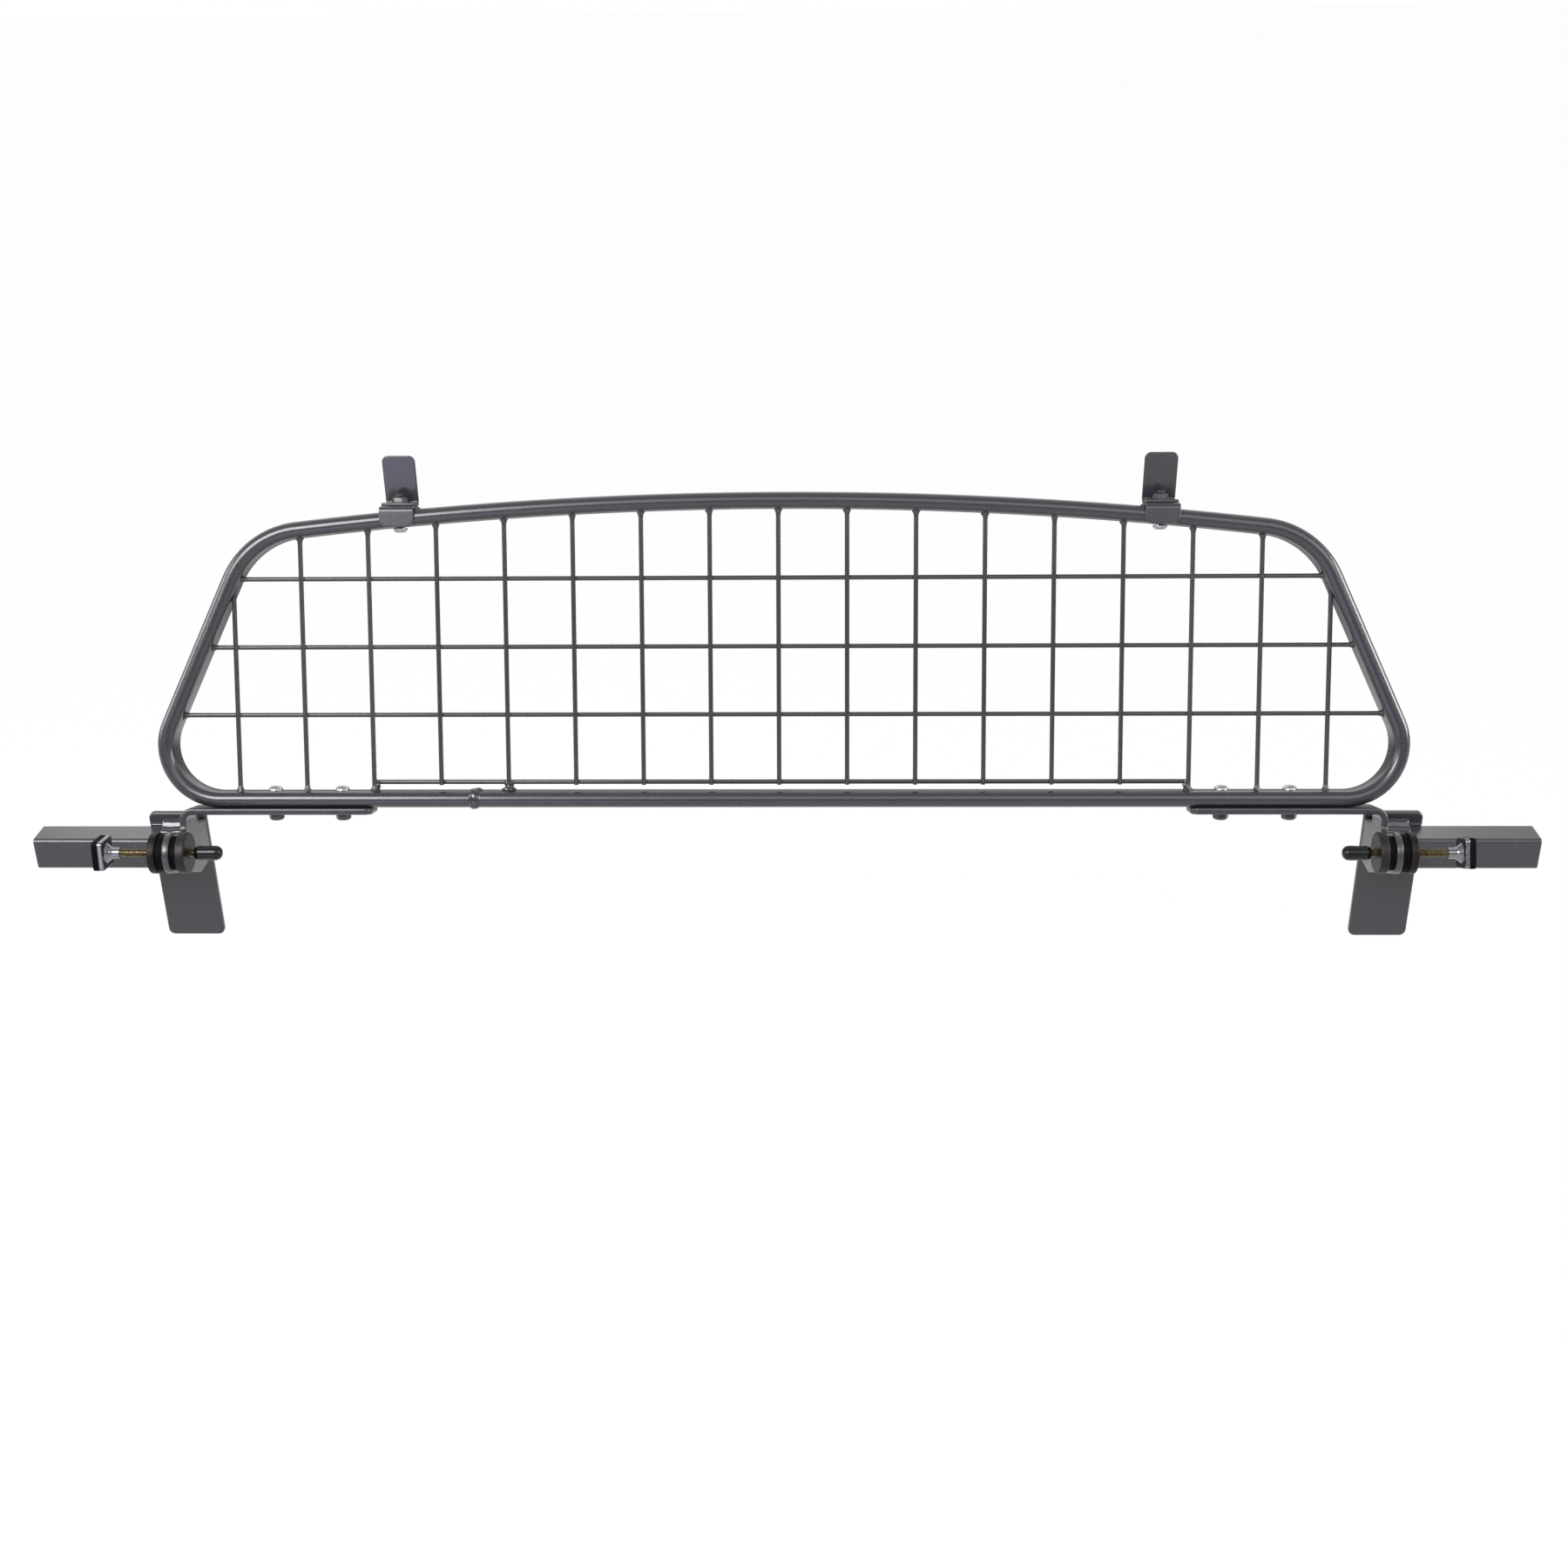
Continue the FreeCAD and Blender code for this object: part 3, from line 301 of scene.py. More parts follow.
def threaded_steel(name):
    """Yellow-plated thread, darkened towards its roots as painted shade."""
    finish = Finish(name, Metallic=1.0)
    back, up = finish.along("Y"), finish.along("Z")
    out = (back * back + up * up) ** 0.5
    crest = finish.spread(out, THREAD_ROOT, THREAD_RADIUS)
    patch = finish.spread(finish.noise(3 * MM, 3), 0.35, 0.65)
    plated = finish.blend(patch, (0.34, 0.27, 0.16), (0.20, 0.15, 0.08))
    # Painted shade: the thread's roots are coloured near black, fading to the plating at the
    # crests
    finish.set("Base Color", finish.blend(crest, (0.020, 0.013, 0.008), plated))
    finish.set("Roughness", 0.52 - crest * 0.24)
    finish.bump(finish.noise(0.4 * MM, 2), 0.02 * MM)
    return finish.material


def moulded(name, dark, light, roughness, specular, grain=0.6 * MM, depth=0.03 * MM):
    """Moulded rubber or plastic: a close grain with paler scuffs and dust."""
    finish = Finish(name, Specular_IOR_Level=specular)
    speck = finish.spread(finish.noise(grain, 3), 0.42, 0.72)
    scuff = finish.spread(finish.noise(7 * MM, 4), 0.5, 0.75)
    finish.set("Base Color", finish.blend(speck * 0.6 + scuff * 0.4, dark, light))
    finish.set("Roughness", roughness + scuff * 0.1 - speck * 0.05)
    finish.bump(speck, depth)
    return finish.material


PAINT = powder_coat("gunmetal_frame", (0.030, 0.027, 0.036), (0.043, 0.039, 0.050))
PLATE_PAINT = powder_coat("gunmetal_plate", (0.029, 0.026, 0.034), (0.042, 0.038, 0.048),
                          0.3, 0.12)
WIRE_PAINT = powder_coat("gunmetal_wire", (0.026, 0.024, 0.030), (0.038, 0.035, 0.043))
WELD_PAINT = powder_coat("gunmetal_weld", (0.030, 0.027, 0.036), (0.043, 0.039, 0.050), 0.18)
NUT_PAINT = powder_coat("gunmetal_nut", (0.020, 0.017, 0.020), (0.032, 0.027, 0.031), 0.32)
SCREW_ZINC = bright_zinc("bright_screw_zinc")
FOOT_ZINC = bright_zinc("bright_foot_zinc", (0.24, 0.24, 0.26), 0.16)
THREAD = threaded_steel("yellow_thread")
WHEEL = moulded("dark_grey_wheel", (0.010, 0.009, 0.008), (0.034, 0.029, 0.027), 0.42, 0.2)
# A darker copy of the wheel's finish for the outer wheels: painted shade where they face the leg
OUTER_WHEEL_SHADE = moulded(
    "outer_wheel_painted_shade", (0.006, 0.004, 0.004), (0.017, 0.011, 0.012), 0.42, 0.15)
RUBBER = moulded("black_rubber", (0.002, 0.0015, 0.0015), (0.006, 0.004, 0.004), 0.6, 0.04)
CAP = moulded("black_cap", (0.003, 0.003, 0.003), (0.007, 0.007, 0.007), 0.24, 0.3,
              1.5 * MM, 0.01 * MM)


# Making pieces

def finish_piece(bm, name, body, material, stands_for=(), sharp=SHARP_EDGE, flat=False):
    """Turns a bmesh into a shown piece that rides on a body."""
    mesh = bpy.data.meshes.new(name)
    bm.to_mesh(mesh)
    bm.free()
    mesh.materials.append(material)
    mesh.shade_smooth()
    mesh.set_sharp_from_angle(angle=sharp)
    piece = bpy.data.objects.new(name, mesh)
    bpy.context.scene.collection.objects.link(piece)
    if flat:
        piece.modifiers.new("even_faces", "WEIGHTED_NORMAL").keep_sharp = True
    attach(piece, body)
    if stands_for:
        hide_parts(*stands_for)


def close_up(bm):
    """Merges doubled points and turns every face outwards."""
    bmesh.ops.remove_doubles(bm, verts=bm.verts, dist=SAME_POINT)
    bmesh.ops.recalc_face_normals(bm, faces=bm.faces)


def fill_holes(bm):
    bmesh.ops.holes_fill(bm, edges=[e for e in bm.edges if e.is_boundary], sides=0)


def points_of(geometry):
    return [g for g in geometry if isinstance(g, bmesh.types.BMVert)]


def edges_of(geometry):
    return [g for g in geometry if isinstance(g, bmesh.types.BMEdge)]


def extruded(bm, edges, shift=(0, 0, 0)):
    """Draws walls from edges and moves their far side: its points and its edges."""
    made = bmesh.ops.extrude_edge_only(bm, edges=edges)["geom"]
    points = points_of(made)
    bmesh.ops.translate(bm, vec=shift, verts=points)
    return points, [e for e in edges_of(made) if all(v in points for v in e.verts)]


def rounded(bm, geometry, radius, segments, affect="EDGES"):
    """Rounds edges, or the corners of an outline where affect is VERTICES."""
    bmesh.ops.bevel(
        bm, geom=geometry, offset=radius, offset_type="OFFSET", affect=affect,
        segments=segments, profile=0.5, material=-1)


def square_rims(bm):
    """The edges whose faces meet nearly square."""
    return [e for e in bm.edges if e.calc_face_angle(0) > SQUARE_EDGE]


def outline(bm, corners, radius, place):
    """A regular outline about a place's Z axis: its points."""
    return bmesh.ops.create_circle(
        bm, segments=corners, radius=radius, cap_ends=False, matrix=place)["verts"]


def wires_of(bm):
    """The edges that belong to no face yet."""
    return [e for e in bm.edges if e.is_wire]


def softened(node, body, material, edge=PLATE_EDGE):
    """A node's own shape with its hard edges rounded, as the paint rounds them."""
    bm = bmesh.new()
    bm.from_mesh(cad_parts[node].data)
    bmesh.ops.remove_doubles(bm, verts=bm.verts, dist=SAME_POINT)
    bmesh.ops.dissolve_limit(
        bm, angle_limit=FLAT_EDGE, verts=bm.verts, edges=bm.edges,
        use_dissolve_boundaries=False)
    hard = [e for e in bm.edges if len(e.link_faces) == 2 and e.calc_face_angle() > PAINTED_EDGE]
    rounded(bm, hard, edge, 4)
    finish_piece(bm, f"{node}_soft", body, material, (node,), flat=True)


def lathe(profile, steps, rounds=()):
    """A shape turned about the Z axis from corners given as radius and height.

    Each of rounds names a corner by its number, with its radius and segments.
    """
    bm = bmesh.new()
    corners = [bm.verts.new((radius, 0, height)) for radius, height in profile]
    for pair in zip(corners, corners[1:]):
        bm.edges.new(pair)
    for number, radius, segments in rounds:
        rounded(bm, [corners[number]], radius, segments, "VERTICES")
    bmesh.ops.spin(
        bm, geom=list(bm.verts) + list(bm.edges), cent=(0, 0, 0), axis=(0, 0, 1),
        dvec=(0, 0, 0), angle=2 * math.pi, steps=steps, use_merge=True, use_duplicate=False)
    close_up(bm)
    return bm


def lump(size, seed, rough, detail=3):
    """A drop of weld: a ball stretched and rippled."""
    bm = bmesh.new()
    bmesh.ops.create_icosphere(bm, subdivisions=detail, radius=1)
    for v in bm.verts:
        v.co *= 1 + rough * ripple(v.co, 0.7, seed)
    bmesh.ops.scale(bm, vec=size, verts=bm.verts)
    return bm


def ripple(point, size, seed):
    """A smooth push for a point, different for each seed."""
    return noise.noise(point / size + Vector((seed, 0.37 * seed, -seed)))


def in_mm(lengths):
    return [length * MM for length in lengths]


def placed(shape, place):
    """A shape made about the origin, moved to its place."""
    bmesh.ops.transform(shape, matrix=place, verts=shape.verts)
    return shape


def put(bm, shape, place):
    """Adds a shape made about the origin to a piece, at its place."""
    carrier = bpy.data.meshes.new("carrier")
    placed(shape, place).to_mesh(carrier)
    shape.free()
    bm.from_mesh(carrier)
    bpy.data.meshes.remove(carrier)


def outwards(side, along):
    """A place on the jack's line whose Z axis points outwards from the middle."""
    return Matrix.Translation((side * along, 0, 0)) @ Matrix.Rotation(
        side * math.pi / 2, 4, "Y")


def reach_along(node):
    """A node's near and far end along the jack's line, from the middle."""
    low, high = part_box(node)
    return sorted((abs(low.x), abs(high.x)))


def guard_span(node, axis):
    """How far a node reaches along one of the guard's axes."""
    upright = GUARD.inverted()
    reaches = [(upright @ v.co)[axis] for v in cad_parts[node].data.vertices]
    return min(reaches), max(reaches)


def guard_middle(node, axis):
    """The middle of a node along one of the guard's axes."""
    return sum(guard_span(node, axis)) / 2


# The hoop

def oval_ring(bm, grow=0.0):
    """The tube's flat-sided section, in the plane across the bottom run's middle."""
    radius, reach = TUBE_THICKNESS / 2 + grow, (TUBE_DEPTH - TUBE_THICKNESS) / 2
    ends = []
    for side in (1, -1):
        top = bm.verts.new((0, side * reach, radius))
        arc = bmesh.ops.spin(
            bm, geom=[top], cent=(0, side * reach, 0), axis=(1, 0, 0), dvec=(0, 0, 0),
            angle=-side * math.pi, steps=SECTION_STEPS, use_merge=False, use_duplicate=False)
        ends.append((top, arc["geom_last"][0]))
    bm.edges.new((ends[0][0], ends[1][0]))
    bm.edges.new((ends[0][1], ends[1][1]))
    bmesh.ops.translate(bm, vec=(0, 0, TUBE_THICKNESS / 2), verts=bm.verts)
    return list(bm.verts) + list(bm.edges)


def hoop_stations():
    """The centres of the right lower and upper bend and of the arch, and half the arch's turn."""
    across = Vector((math.cos(SIDE_SLOPE), 0, math.sin(SIDE_SLOPE)))
    low = Vector((HOOP_WIDTH / 2 - LOWER_RADIUS, 0, LOWER_RADIUS))
    crown = Vector((0, 0, HOOP_HEIGHT - ARCH_RADIUS))
    start = low + across * (LOWER_RADIUS - UPPER_RADIUS) - crown
    reach = ARCH_RADIUS - UPPER_RADIUS
    dip = start.dot(LEG_LINE)
    run = -dip + math.sqrt(dip**2 - start.dot(start) + reach**2)
    high = crown + start + LEG_LINE * run
    half_arch = math.atan2(high.x - crown.x, high.z - crown.z)
    return low, high, crown, half_arch


def make_hoop():
    """The bent tube: its oval section carried round the runs and bends."""
    bm = bmesh.new()
    low, high, crown, half_arch = hoop_stations()

    def straight(ring, run):
        points, edges = extruded(bm, edges_of(ring), run)
        return points + edges

    def bend(ring, centre, angle, steps):
        return bmesh.ops.spin(
            bm, geom=ring, cent=centre, axis=(0, -1, 0), dvec=(0, 0, 0), angle=angle,
            steps=steps, use_merge=False, use_duplicate=False)["geom_last"]

    def mirrored(point):
        return Vector((-point.x, point.y, point.z))

    lower_turn = math.pi / 2 + SIDE_SLOPE
    upper_turn = math.pi - lower_turn - half_arch
    half_run = Vector((low.x, 0, 0))
    leg = LEG_LINE * (high - low).dot(LEG_LINE)
    ring = straight(oval_ring(bm), half_run)
    ring = bend(ring, low, lower_turn, LOWER_STEPS)
    ring = straight(ring, leg)
    ring = bend(ring, high, upper_turn, UPPER_STEPS)
    ring = bend(ring, crown, 2 * half_arch, ARCH_STEPS)
    ring = bend(ring, mirrored(high), upper_turn, UPPER_STEPS)
    ring = straight(ring, -mirrored(leg))
    ring = bend(ring, mirrored(low), lower_turn, LOWER_STEPS)
    straight(ring, half_run)
    close_up(bm)
    finish_piece(placed(bm, GUARD), "hoop_tube", "root", PAINT, ("hoop_frame",),
                 SHARP_ON_BENDS)


def make_seam():
    """The fat, lumpy bead where the bent hoop closes."""
    bm = oval_bead()
    for middle, size in SEAM_LUMPS:
        put(bm, lump(in_mm(size), middle[2], 0.08), Matrix.Translation(in_mm(middle)))
    seam = GUARD @ Matrix.Translation((SEAM_INSET - HOOP_WIDTH / 2, 0, 0))
    finish_piece(placed(bm, seam), "hoop_seam_bead", "root", WELD_PAINT,
                 ("hoop_seam_weld",), SHARP_ON_SEAM)


def oval_bead():
    """A rippled ring round the tube, thicker in its middle."""
    bm = bmesh.new()
    edges = edges_of(oval_ring(bm, -SEAM_SINK))
    bmesh.ops.translate(bm, vec=(-SEAM_WIDTH / 2, 0, 0), verts=bm.verts)
    flat = (TUBE_DEPTH - TUBE_THICKNESS) / 2
    for crown in SEAM_CROWN:
        points, edges = extruded(bm, edges, (SEAM_WIDTH / len(SEAM_CROWN), 0, 0))
        for v in points:
            axis = Vector((v.co.x, max(-flat, min(flat, v.co.y)), TUBE_THICKNESS / 2))
            away = (v.co - axis).normalized()
            swell = crown * (0.85 + 0.5 * ripple(v.co, 4.5 * MM, 3.1)) * MM
            v.co = axis + away * (TUBE_THICKNESS / 2 + swell)
    fill_holes(bm)
    close_up(bm)
    return bm


# The mesh

def wire(name, place, length, flares):
    """A round wire along the Z axis of a place, spreading into lumpy weld at its flared ends."""
    low = [(0, -FLARE_SINK), *FLARE] if flares[0] else [(0, 0), (WIRE_RADIUS, 0)]
    high = [(WIRE_RADIUS, length), (0, length)]
    if flares[1]:
        high = [(radius, length - height) for radius, height in reversed(FLARE)]
        high += [(0, length + FLARE_SINK)]
    rounds = [] if flares[0] else [(1, WIRE_END_ROUND, 3)]
    rounds += [] if flares[1] else [(len(low), WIRE_END_ROUND, 3)]
    bm = lathe(low + high, WIRE_STEPS, rounds)
    seed = 31 * place.translation.x + 17 * place.translation.z
    for v in bm.verts:
        out = v.co.to_2d().length / WIRE_RADIUS
        if out > 1.05:
            swell = 1 + 0.45 * ripple(v.co, 3 * MM, seed) * min(1, out - 1)
            v.co.x, v.co.y = v.co.x * swell, v.co.y * swell
    for number, end in enumerate((0, length)):
        if flares[number]:
            turn = Matrix.Rotation(math.pi * (1 + ripple(Vector(), 1, seed + number)), 4, "Z")
            inwards = FLARE_LUMP_INSET * (1 - 2 * number)
            spot = Matrix.Translation((0, 0, end + inwards)) @ turn
            put(bm, lump(FLARE_LUMP, seed, 0.3, 2),
                spot @ Matrix.Translation((WIRE_RADIUS, 0, 0)))
    finish_piece(placed(bm, place), f"{name}_drawn", "root", WIRE_PAINT, (name,),
                 SHARP_ON_BENDS)


def make_mesh():
    """The uprights in front, the cross wires behind, and the welds that join them."""
    uprights = [f"vertical_wire_{n:02d}" for n in range(1, 18)]
    crosses = [f"cross_wire_{n}" for n in range(1, 5)]
    for number, node in enumerate(uprights, start=1):
        across, back = guard_middle(node, 0), guard_middle(node, 1)
        low, high = guard_span(node, 2)
        foot = GUARD @ Matrix.Translation((across, back, low))
        wire(node, foot, high - low, (number in FULL_UPRIGHTS, True))
    for node in crosses:
        left, right = guard_span(node, 0)
        end = GUARD @ Matrix.Translation((left, guard_middle(node, 1), guard_middle(node, 2)))
        end = end @ Matrix.Rotation(math.pi / 2, 4, "Y")
        meets_tube = node != crosses[-1]
        wire(node, end, right - left, (meets_tube, meets_tube))
    make_crossings(uprights, crosses)
    make_row_welds(crosses[-1])


def make_crossings(uprights, crosses):
    """The little swell of weld where each pair of wires crosses."""
    bm = bmesh.new()
    for upright in uprights:
        across, back = guard_middle(upright, 0), guard_middle(upright, 1)
        low, high = guard_span(upright, 2)
        for cross in crosses:
            level = guard_middle(cross, 2)
            reach = guard_span(cross, 0)
            if low < level < high and reach[0] < across < reach[1]:
                middle = Matrix.Translation((across, (back + guard_middle(cross, 1)) / 2, level))
                put(bm, lump(CROSSING_SIZE, 40 * across + 90 * level, 0.25, 2), GUARD @ middle)
    finish_piece(bm, "mesh_crossing_welds", "root", WIRE_PAINT,
                 sharp=SHARP_ON_WELDS)


def make_row_welds(row):
    """The fat welds that join the short bottom row to the tube: at both ends and by a wire."""
    bm = bmesh.new()
    left, right = guard_span(row, 0)
    back, level = guard_middle(row, 1), guard_middle(row, 2)
    tube_top = TUBE_THICKNESS
    middle = (level + tube_top) / 2
    # Lumps of each weld: across from its place in millimetres, up, and size in millimetres
    elbow = ((1.6, level, (2.5, 2.3, 2.2)), (2.4, middle + 0.4 * MM, (2.3, 2.1, 2.8)),
             (0.9, tube_top + 0.6 * MM, (3.6, 2.6, 1.7)))
    cone = ((-1.7, level - 0.6 * MM, (2.2, 2.2, 2.3)), (1.6, level - 0.9 * MM, (2.4, 2.2, 2.2)),
            (0.2, middle, (3.3, 2.6, 3.2)), (-1.8, tube_top + 0.9 * MM, (3.4, 2.6, 1.9)),
            (2.1, tube_top + 0.8 * MM, (3.2, 2.6, 1.8)))
    for across, side, lumps in ((left + MM, 1, elbow), (right - MM, -1, elbow),
                                (left + ROW_WELD_INSET, 1, cone)):
        for along, up, size in lumps:
            spot = Matrix.Translation((across + side * along * MM, back - ROW_WELD_LEAD, up))
            put(bm, lump(in_mm(size), 50 * across + along, 0.3), GUARD @ spot)
    finish_piece(bm, "row_weld_lumps", "root", WELD_PAINT, sharp=SHARP_ON_WELDS)


# Screws and nuts

def hex_socket_head():
    """A button head with its hexagon socket, its seat at the origin and its dome along Z."""
    rim = SOCKET_WIDTH / 2 * 1.4
    profile = [(HEAD_RADIUS * out, HEAD_HEIGHT * up) for out, up in HEAD_DOME]
    profile += [(rim * 1.1, HEAD_HEIGHT * 0.99), (rim, HEAD_HEIGHT)]
    bm = lathe(profile, HEAD_STEPS, ((1, 0.3 * MM, 2),))
    top = max(v.co.z for v in bm.verts)
    opening = [e for e in bm.edges if all(v.co.z > top - 0.01 * MM for v in e.verts)]
    outline(bm, 6, SOCKET_WIDTH / math.sqrt(3), Matrix.Translation((0, 0, top - 0.25 * MM)))
    bmesh.ops.subdivide_edges(bm, edges=wires_of(bm), cuts=HEAD_STEPS // 6 - 1)
    mouth = wires_of(bm)
    bmesh.ops.bridge_loops(bm, edges=opening + mouth)
    _, bottom = extruded(bm, mouth, (0, 0, -SOCKET_DEPTH))
    bmesh.ops.contextual_create(bm, geom=bottom)
    bmesh.ops.recalc_face_normals(bm, faces=bm.faces)
    return bm


def shank(length):
    """A screw's shank below its head, its point chamfered."""
    return lathe([(0, -length), (SCREW_RADIUS * 0.8, -length), (SCREW_RADIUS, -length + 0.6 * MM),
                  (SCREW_RADIUS, 0), (0, 0)], SHANK_STEPS)


def hex_nut(height):
    """A hexagon nut on the XY plane, chamfered on its outer face."""
    bm = bmesh.new()
    outline(bm, 6, NUT_WIDTH / math.sqrt(3), Matrix.Rotation(math.pi / 6, 4, "Z"))
    bmesh.ops.subdivide_edges(bm, edges=bm.edges, cuts=3)
    sides = list(bm.edges)
    # Rows up the nut: height, how far it is drawn in, in millimetres, and the chamfer's slant
    rows = ((height * 0.6, 0, 0.15), (height * 0.88, 0.35, 0.4), (height, 1.1, 0.5))
    for level, inset, slant in rows:
        points, sides = extruded(bm, sides)
        for v in points:
            beyond = max(0, v.co.to_2d().length - NUT_WIDTH / 2)
            v.co.z = level - beyond * slant
            reach = 1 - (inset * MM + 0.4 * beyond * inset) / v.co.to_2d().length
            v.co.x, v.co.y = v.co.x * reach, v.co.y * reach
    outline(bm, SHANK_STEPS, SCREW_RADIUS * 1.08, Matrix.Translation((0, 0, height)))
    bore = wires_of(bm)
    bmesh.ops.bridge_loops(bm, edges=sides + bore)
    extruded(bm, bore, (0, 0, -height))
    bmesh.ops.recalc_face_normals(bm, faces=bm.faces)
    return bm


def make_fasteners():
    for side in SIDES:
        make_strap_screws(side)
        make_tab_screw(side)


def make_strap_screws(side):
    """The two button-head screws through a strap, and their nuts below it."""
    screws, nuts = bmesh.new(), bmesh.new()
    point, head_top = guard_span(f"{side}_strap_screws", 2)
    left, right = guard_span(f"{side}_strap_screws", 0)
    nut_low, seat = guard_span(f"{side}_strap_nuts", 2)
    head_low = head_top - HEAD_HEIGHT
    for across in (left + HEAD_RADIUS, right - HEAD_RADIUS):
        head = GUARD @ Matrix.Translation((across, 0, head_low))
        put(screws, hex_socket_head(), head @ Matrix.Rotation(0.4 + 9 * across, 4, "Z"))
        put(screws, shank(head_low - point), head)
        under = GUARD @ Matrix.Translation((across, 0, seat)) @ Matrix.Rotation(math.pi, 4, "X")
        put(nuts, hex_nut(seat - nut_low), under)
    finish_piece(screws, f"{side}_strap_heads", "root", SCREW_ZINC,
                 (f"{side}_strap_screws",), flat=True)
    finish_piece(nuts, f"{side}_strap_hexes", "root", NUT_PAINT,
                 (f"{side}_strap_nuts",), SHARP_ON_NUTS)


def make_tab_screw(side):
    """The screw up through hoop, saddle and tab; its painted end is made with the nut."""
    across = guard_middle(f"{side}_tab_screw", 0)
    seat, nut_top = guard_span(f"{side}_tab_nut", 2)
    head_low, point = guard_span(f"{side}_tab_screw", 2)
    screw, nut = bmesh.new(), bmesh.new()
    under = Matrix.Translation((across, 0, head_low + HEAD_HEIGHT))
    under = GUARD @ under @ Matrix.Rotation(math.pi, 4, "X")
    put(screw, hex_socket_head(), under)
    put(nut, shank(point - head_low - HEAD_HEIGHT), under)
    put(nut, hex_nut(nut_top - seat), GUARD @ Matrix.Translation((across, 0, seat)))
    finish_piece(screw, f"{side}_tab_head", "root", SCREW_ZINC,
                 (f"{side}_tab_screw",), flat=True)
    finish_piece(nut, f"{side}_tab_hex", "root", NUT_PAINT,
                 (f"{side}_tab_nut",), SHARP_ON_NUTS)


# Brackets

def make_brackets():
    for side, sign in SIDES.items():
        for part in ("lower_bracket", "back_plate"):
            softened(f"{side}_{part}", "root", PLATE_PAINT)
        softened(f"{side}_saddle", "root", PAINT, THIN_EDGE)
        softened(f"{side}_top_tab", f"{side}_tab", PAINT, THIN_EDGE)
        make_arm(side, sign)
        make_plate_weld(side, sign)


def rounded_square(bm, width, corner):
    """The outline of a square with rounded corners about the origin."""
    corners = outline(bm, 4, width / math.sqrt(2), Matrix.Rotation(math.pi / 4, 4, "Z"))
    rounded(bm, corners, corner, 8, "VERTICES")


def make_arm(side, sign):
    """The square tube: its hollow section carried outwards along the back plate."""
    node = f"{side}_arm_tube"
    low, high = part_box(node)
    near, far = reach_along(node)
    width = high.z - low.z
    bm = bmesh.new()
    rounded_square(bm, width, ARM_CORNER)
    rounded_square(bm, width - 2 * ARM_WALL, ARM_CORNER - ARM_WALL)
    faces = bmesh.ops.bridge_loops(bm, edges=bm.edges)["faces"]
    walls = bmesh.ops.extrude_face_region(bm, geom=faces, use_keep_orig=True)["geom"]
    bmesh.ops.translate(bm, vec=(0, 0, far - near), verts=points_of(walls))
    close_up(bm)
    rounded(bm, square_rims(bm), ARM_CUT_EDGE, 2)
    middle = Matrix.Translation((0, (low.y + high.y) / 2, (low.z + high.z) / 2))
    finish_piece(placed(bm, middle @ outwards(sign, near)), f"{node}_drawn", "root", PAINT,
                 (node,), flat=True)


def weld_run(section, rounds, length, steps, rounding, seed):
    """A bead with a section in the XY plane, run along Z, drawn in and rippled towards its end."""
    bm = bmesh.new()
    corners = [bm.verts.new((back * MM, up * MM, 0)) for back, up in section]
    for pair in zip(corners, corners[1:] + corners[:1]):
        bm.edges.new(pair)
    for number, radius in rounds:
        rounded(bm, [corners[number]], radius * MM, 6, "VERTICES")
    start = bmesh.ops.contextual_create(bm, geom=bm.edges)["faces"]
    for _ in range(steps):
        made = bmesh.ops.extrude_face_region(bm, geom=start)["geom"]
        start = [g for g in made if isinstance(g, bmesh.types.BMFace)]
        bmesh.ops.translate(bm, vec=(0, 0, length / steps), verts=points_of(made))
    close_up(bm)
    for v in bm.verts:
        left = max(0, 1 - (length - v.co.z) / rounding)
        swell = math.sqrt(1 - 0.9 * left * left) * (1 + 0.07 * ripple(v.co, 6 * MM, seed))
        v.co.x, v.co.y = v.co.x * swell, v.co.y * swell
    return bm


def make_plate_weld(side, sign):
    """The fat bead over the arm in the corner of plate and leg, and the seam beside it."""
    node = f"{side}_plate_weld"
    low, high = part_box(node)
    near, far = reach_along(node)
    end = reach_along(f"{side}_back_plate")[1]
    corner = Matrix.Translation((0, high.y, low.z))
    # A section's own axes turned forward and up, its length outwards
    along = Matrix(((0, 0, sign, 0), (-1, 0, 0, 0), (0, 1, 0, 0), (0, 0, 0, 1)))
    bm = bmesh.new()
    put(bm, weld_run(*HUMP, far - near, HUMP_STEPS, 3 * MM, 1.7 * sign),
        corner @ Matrix.Translation((sign * near, 0, 0)) @ along)
    put(bm, weld_run(*SEAM, end - far, SEAM_STEPS, 1.5 * MM, 5.3 * sign),
        corner @ Matrix.Translation((sign * (far - MM), 0, 0)) @ along)
    bmesh.ops.recalc_face_normals(bm, faces=bm.faces)
    finish_piece(bm, f"{node}_bead", "root", WELD_PAINT, (node,), SHARP_ON_BENDS)


# Jacks

def make_jacks():
    for side, sign in SIDES.items():
        for which in ("outer", "inner"):
            make_wheel(side, sign, which)
            make_washer(side, sign, which)
        make_rod(side, sign)
        make_cap(side, sign)
        make_foot(side, sign)


def make_wheel(side, sign, which):
    """A hand wheel: flat faces, rolled rims and a countersunk bore."""
    node = f"{side}_{which}_wheel"
    near, far = reach_along(node)
    radius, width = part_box(node)[1].z, far - near
    bore, sink = WHEEL_BORE, WHEEL_BORE + COUNTERSINK_WIDTH
    profile = [(bore, COUNTERSINK_DEPTH), (sink, 0), (radius, 0), (radius, width), (sink, width),
               (bore, width - COUNTERSINK_DEPTH), (bore, COUNTERSINK_DEPTH)]
    bm = lathe(profile, WHEEL_STEPS, ((2, WHEEL_ROUND, 5), (3, WHEEL_ROUND, 5)))
    # The outer wheels take the darker copy of the finish, which is painted shade
    finish_piece(placed(bm, outwards(sign, near)), f"{node}_turned", node,
                 WHEEL if which == "inner" else OUTER_WHEEL_SHADE, (node,), flat=True)


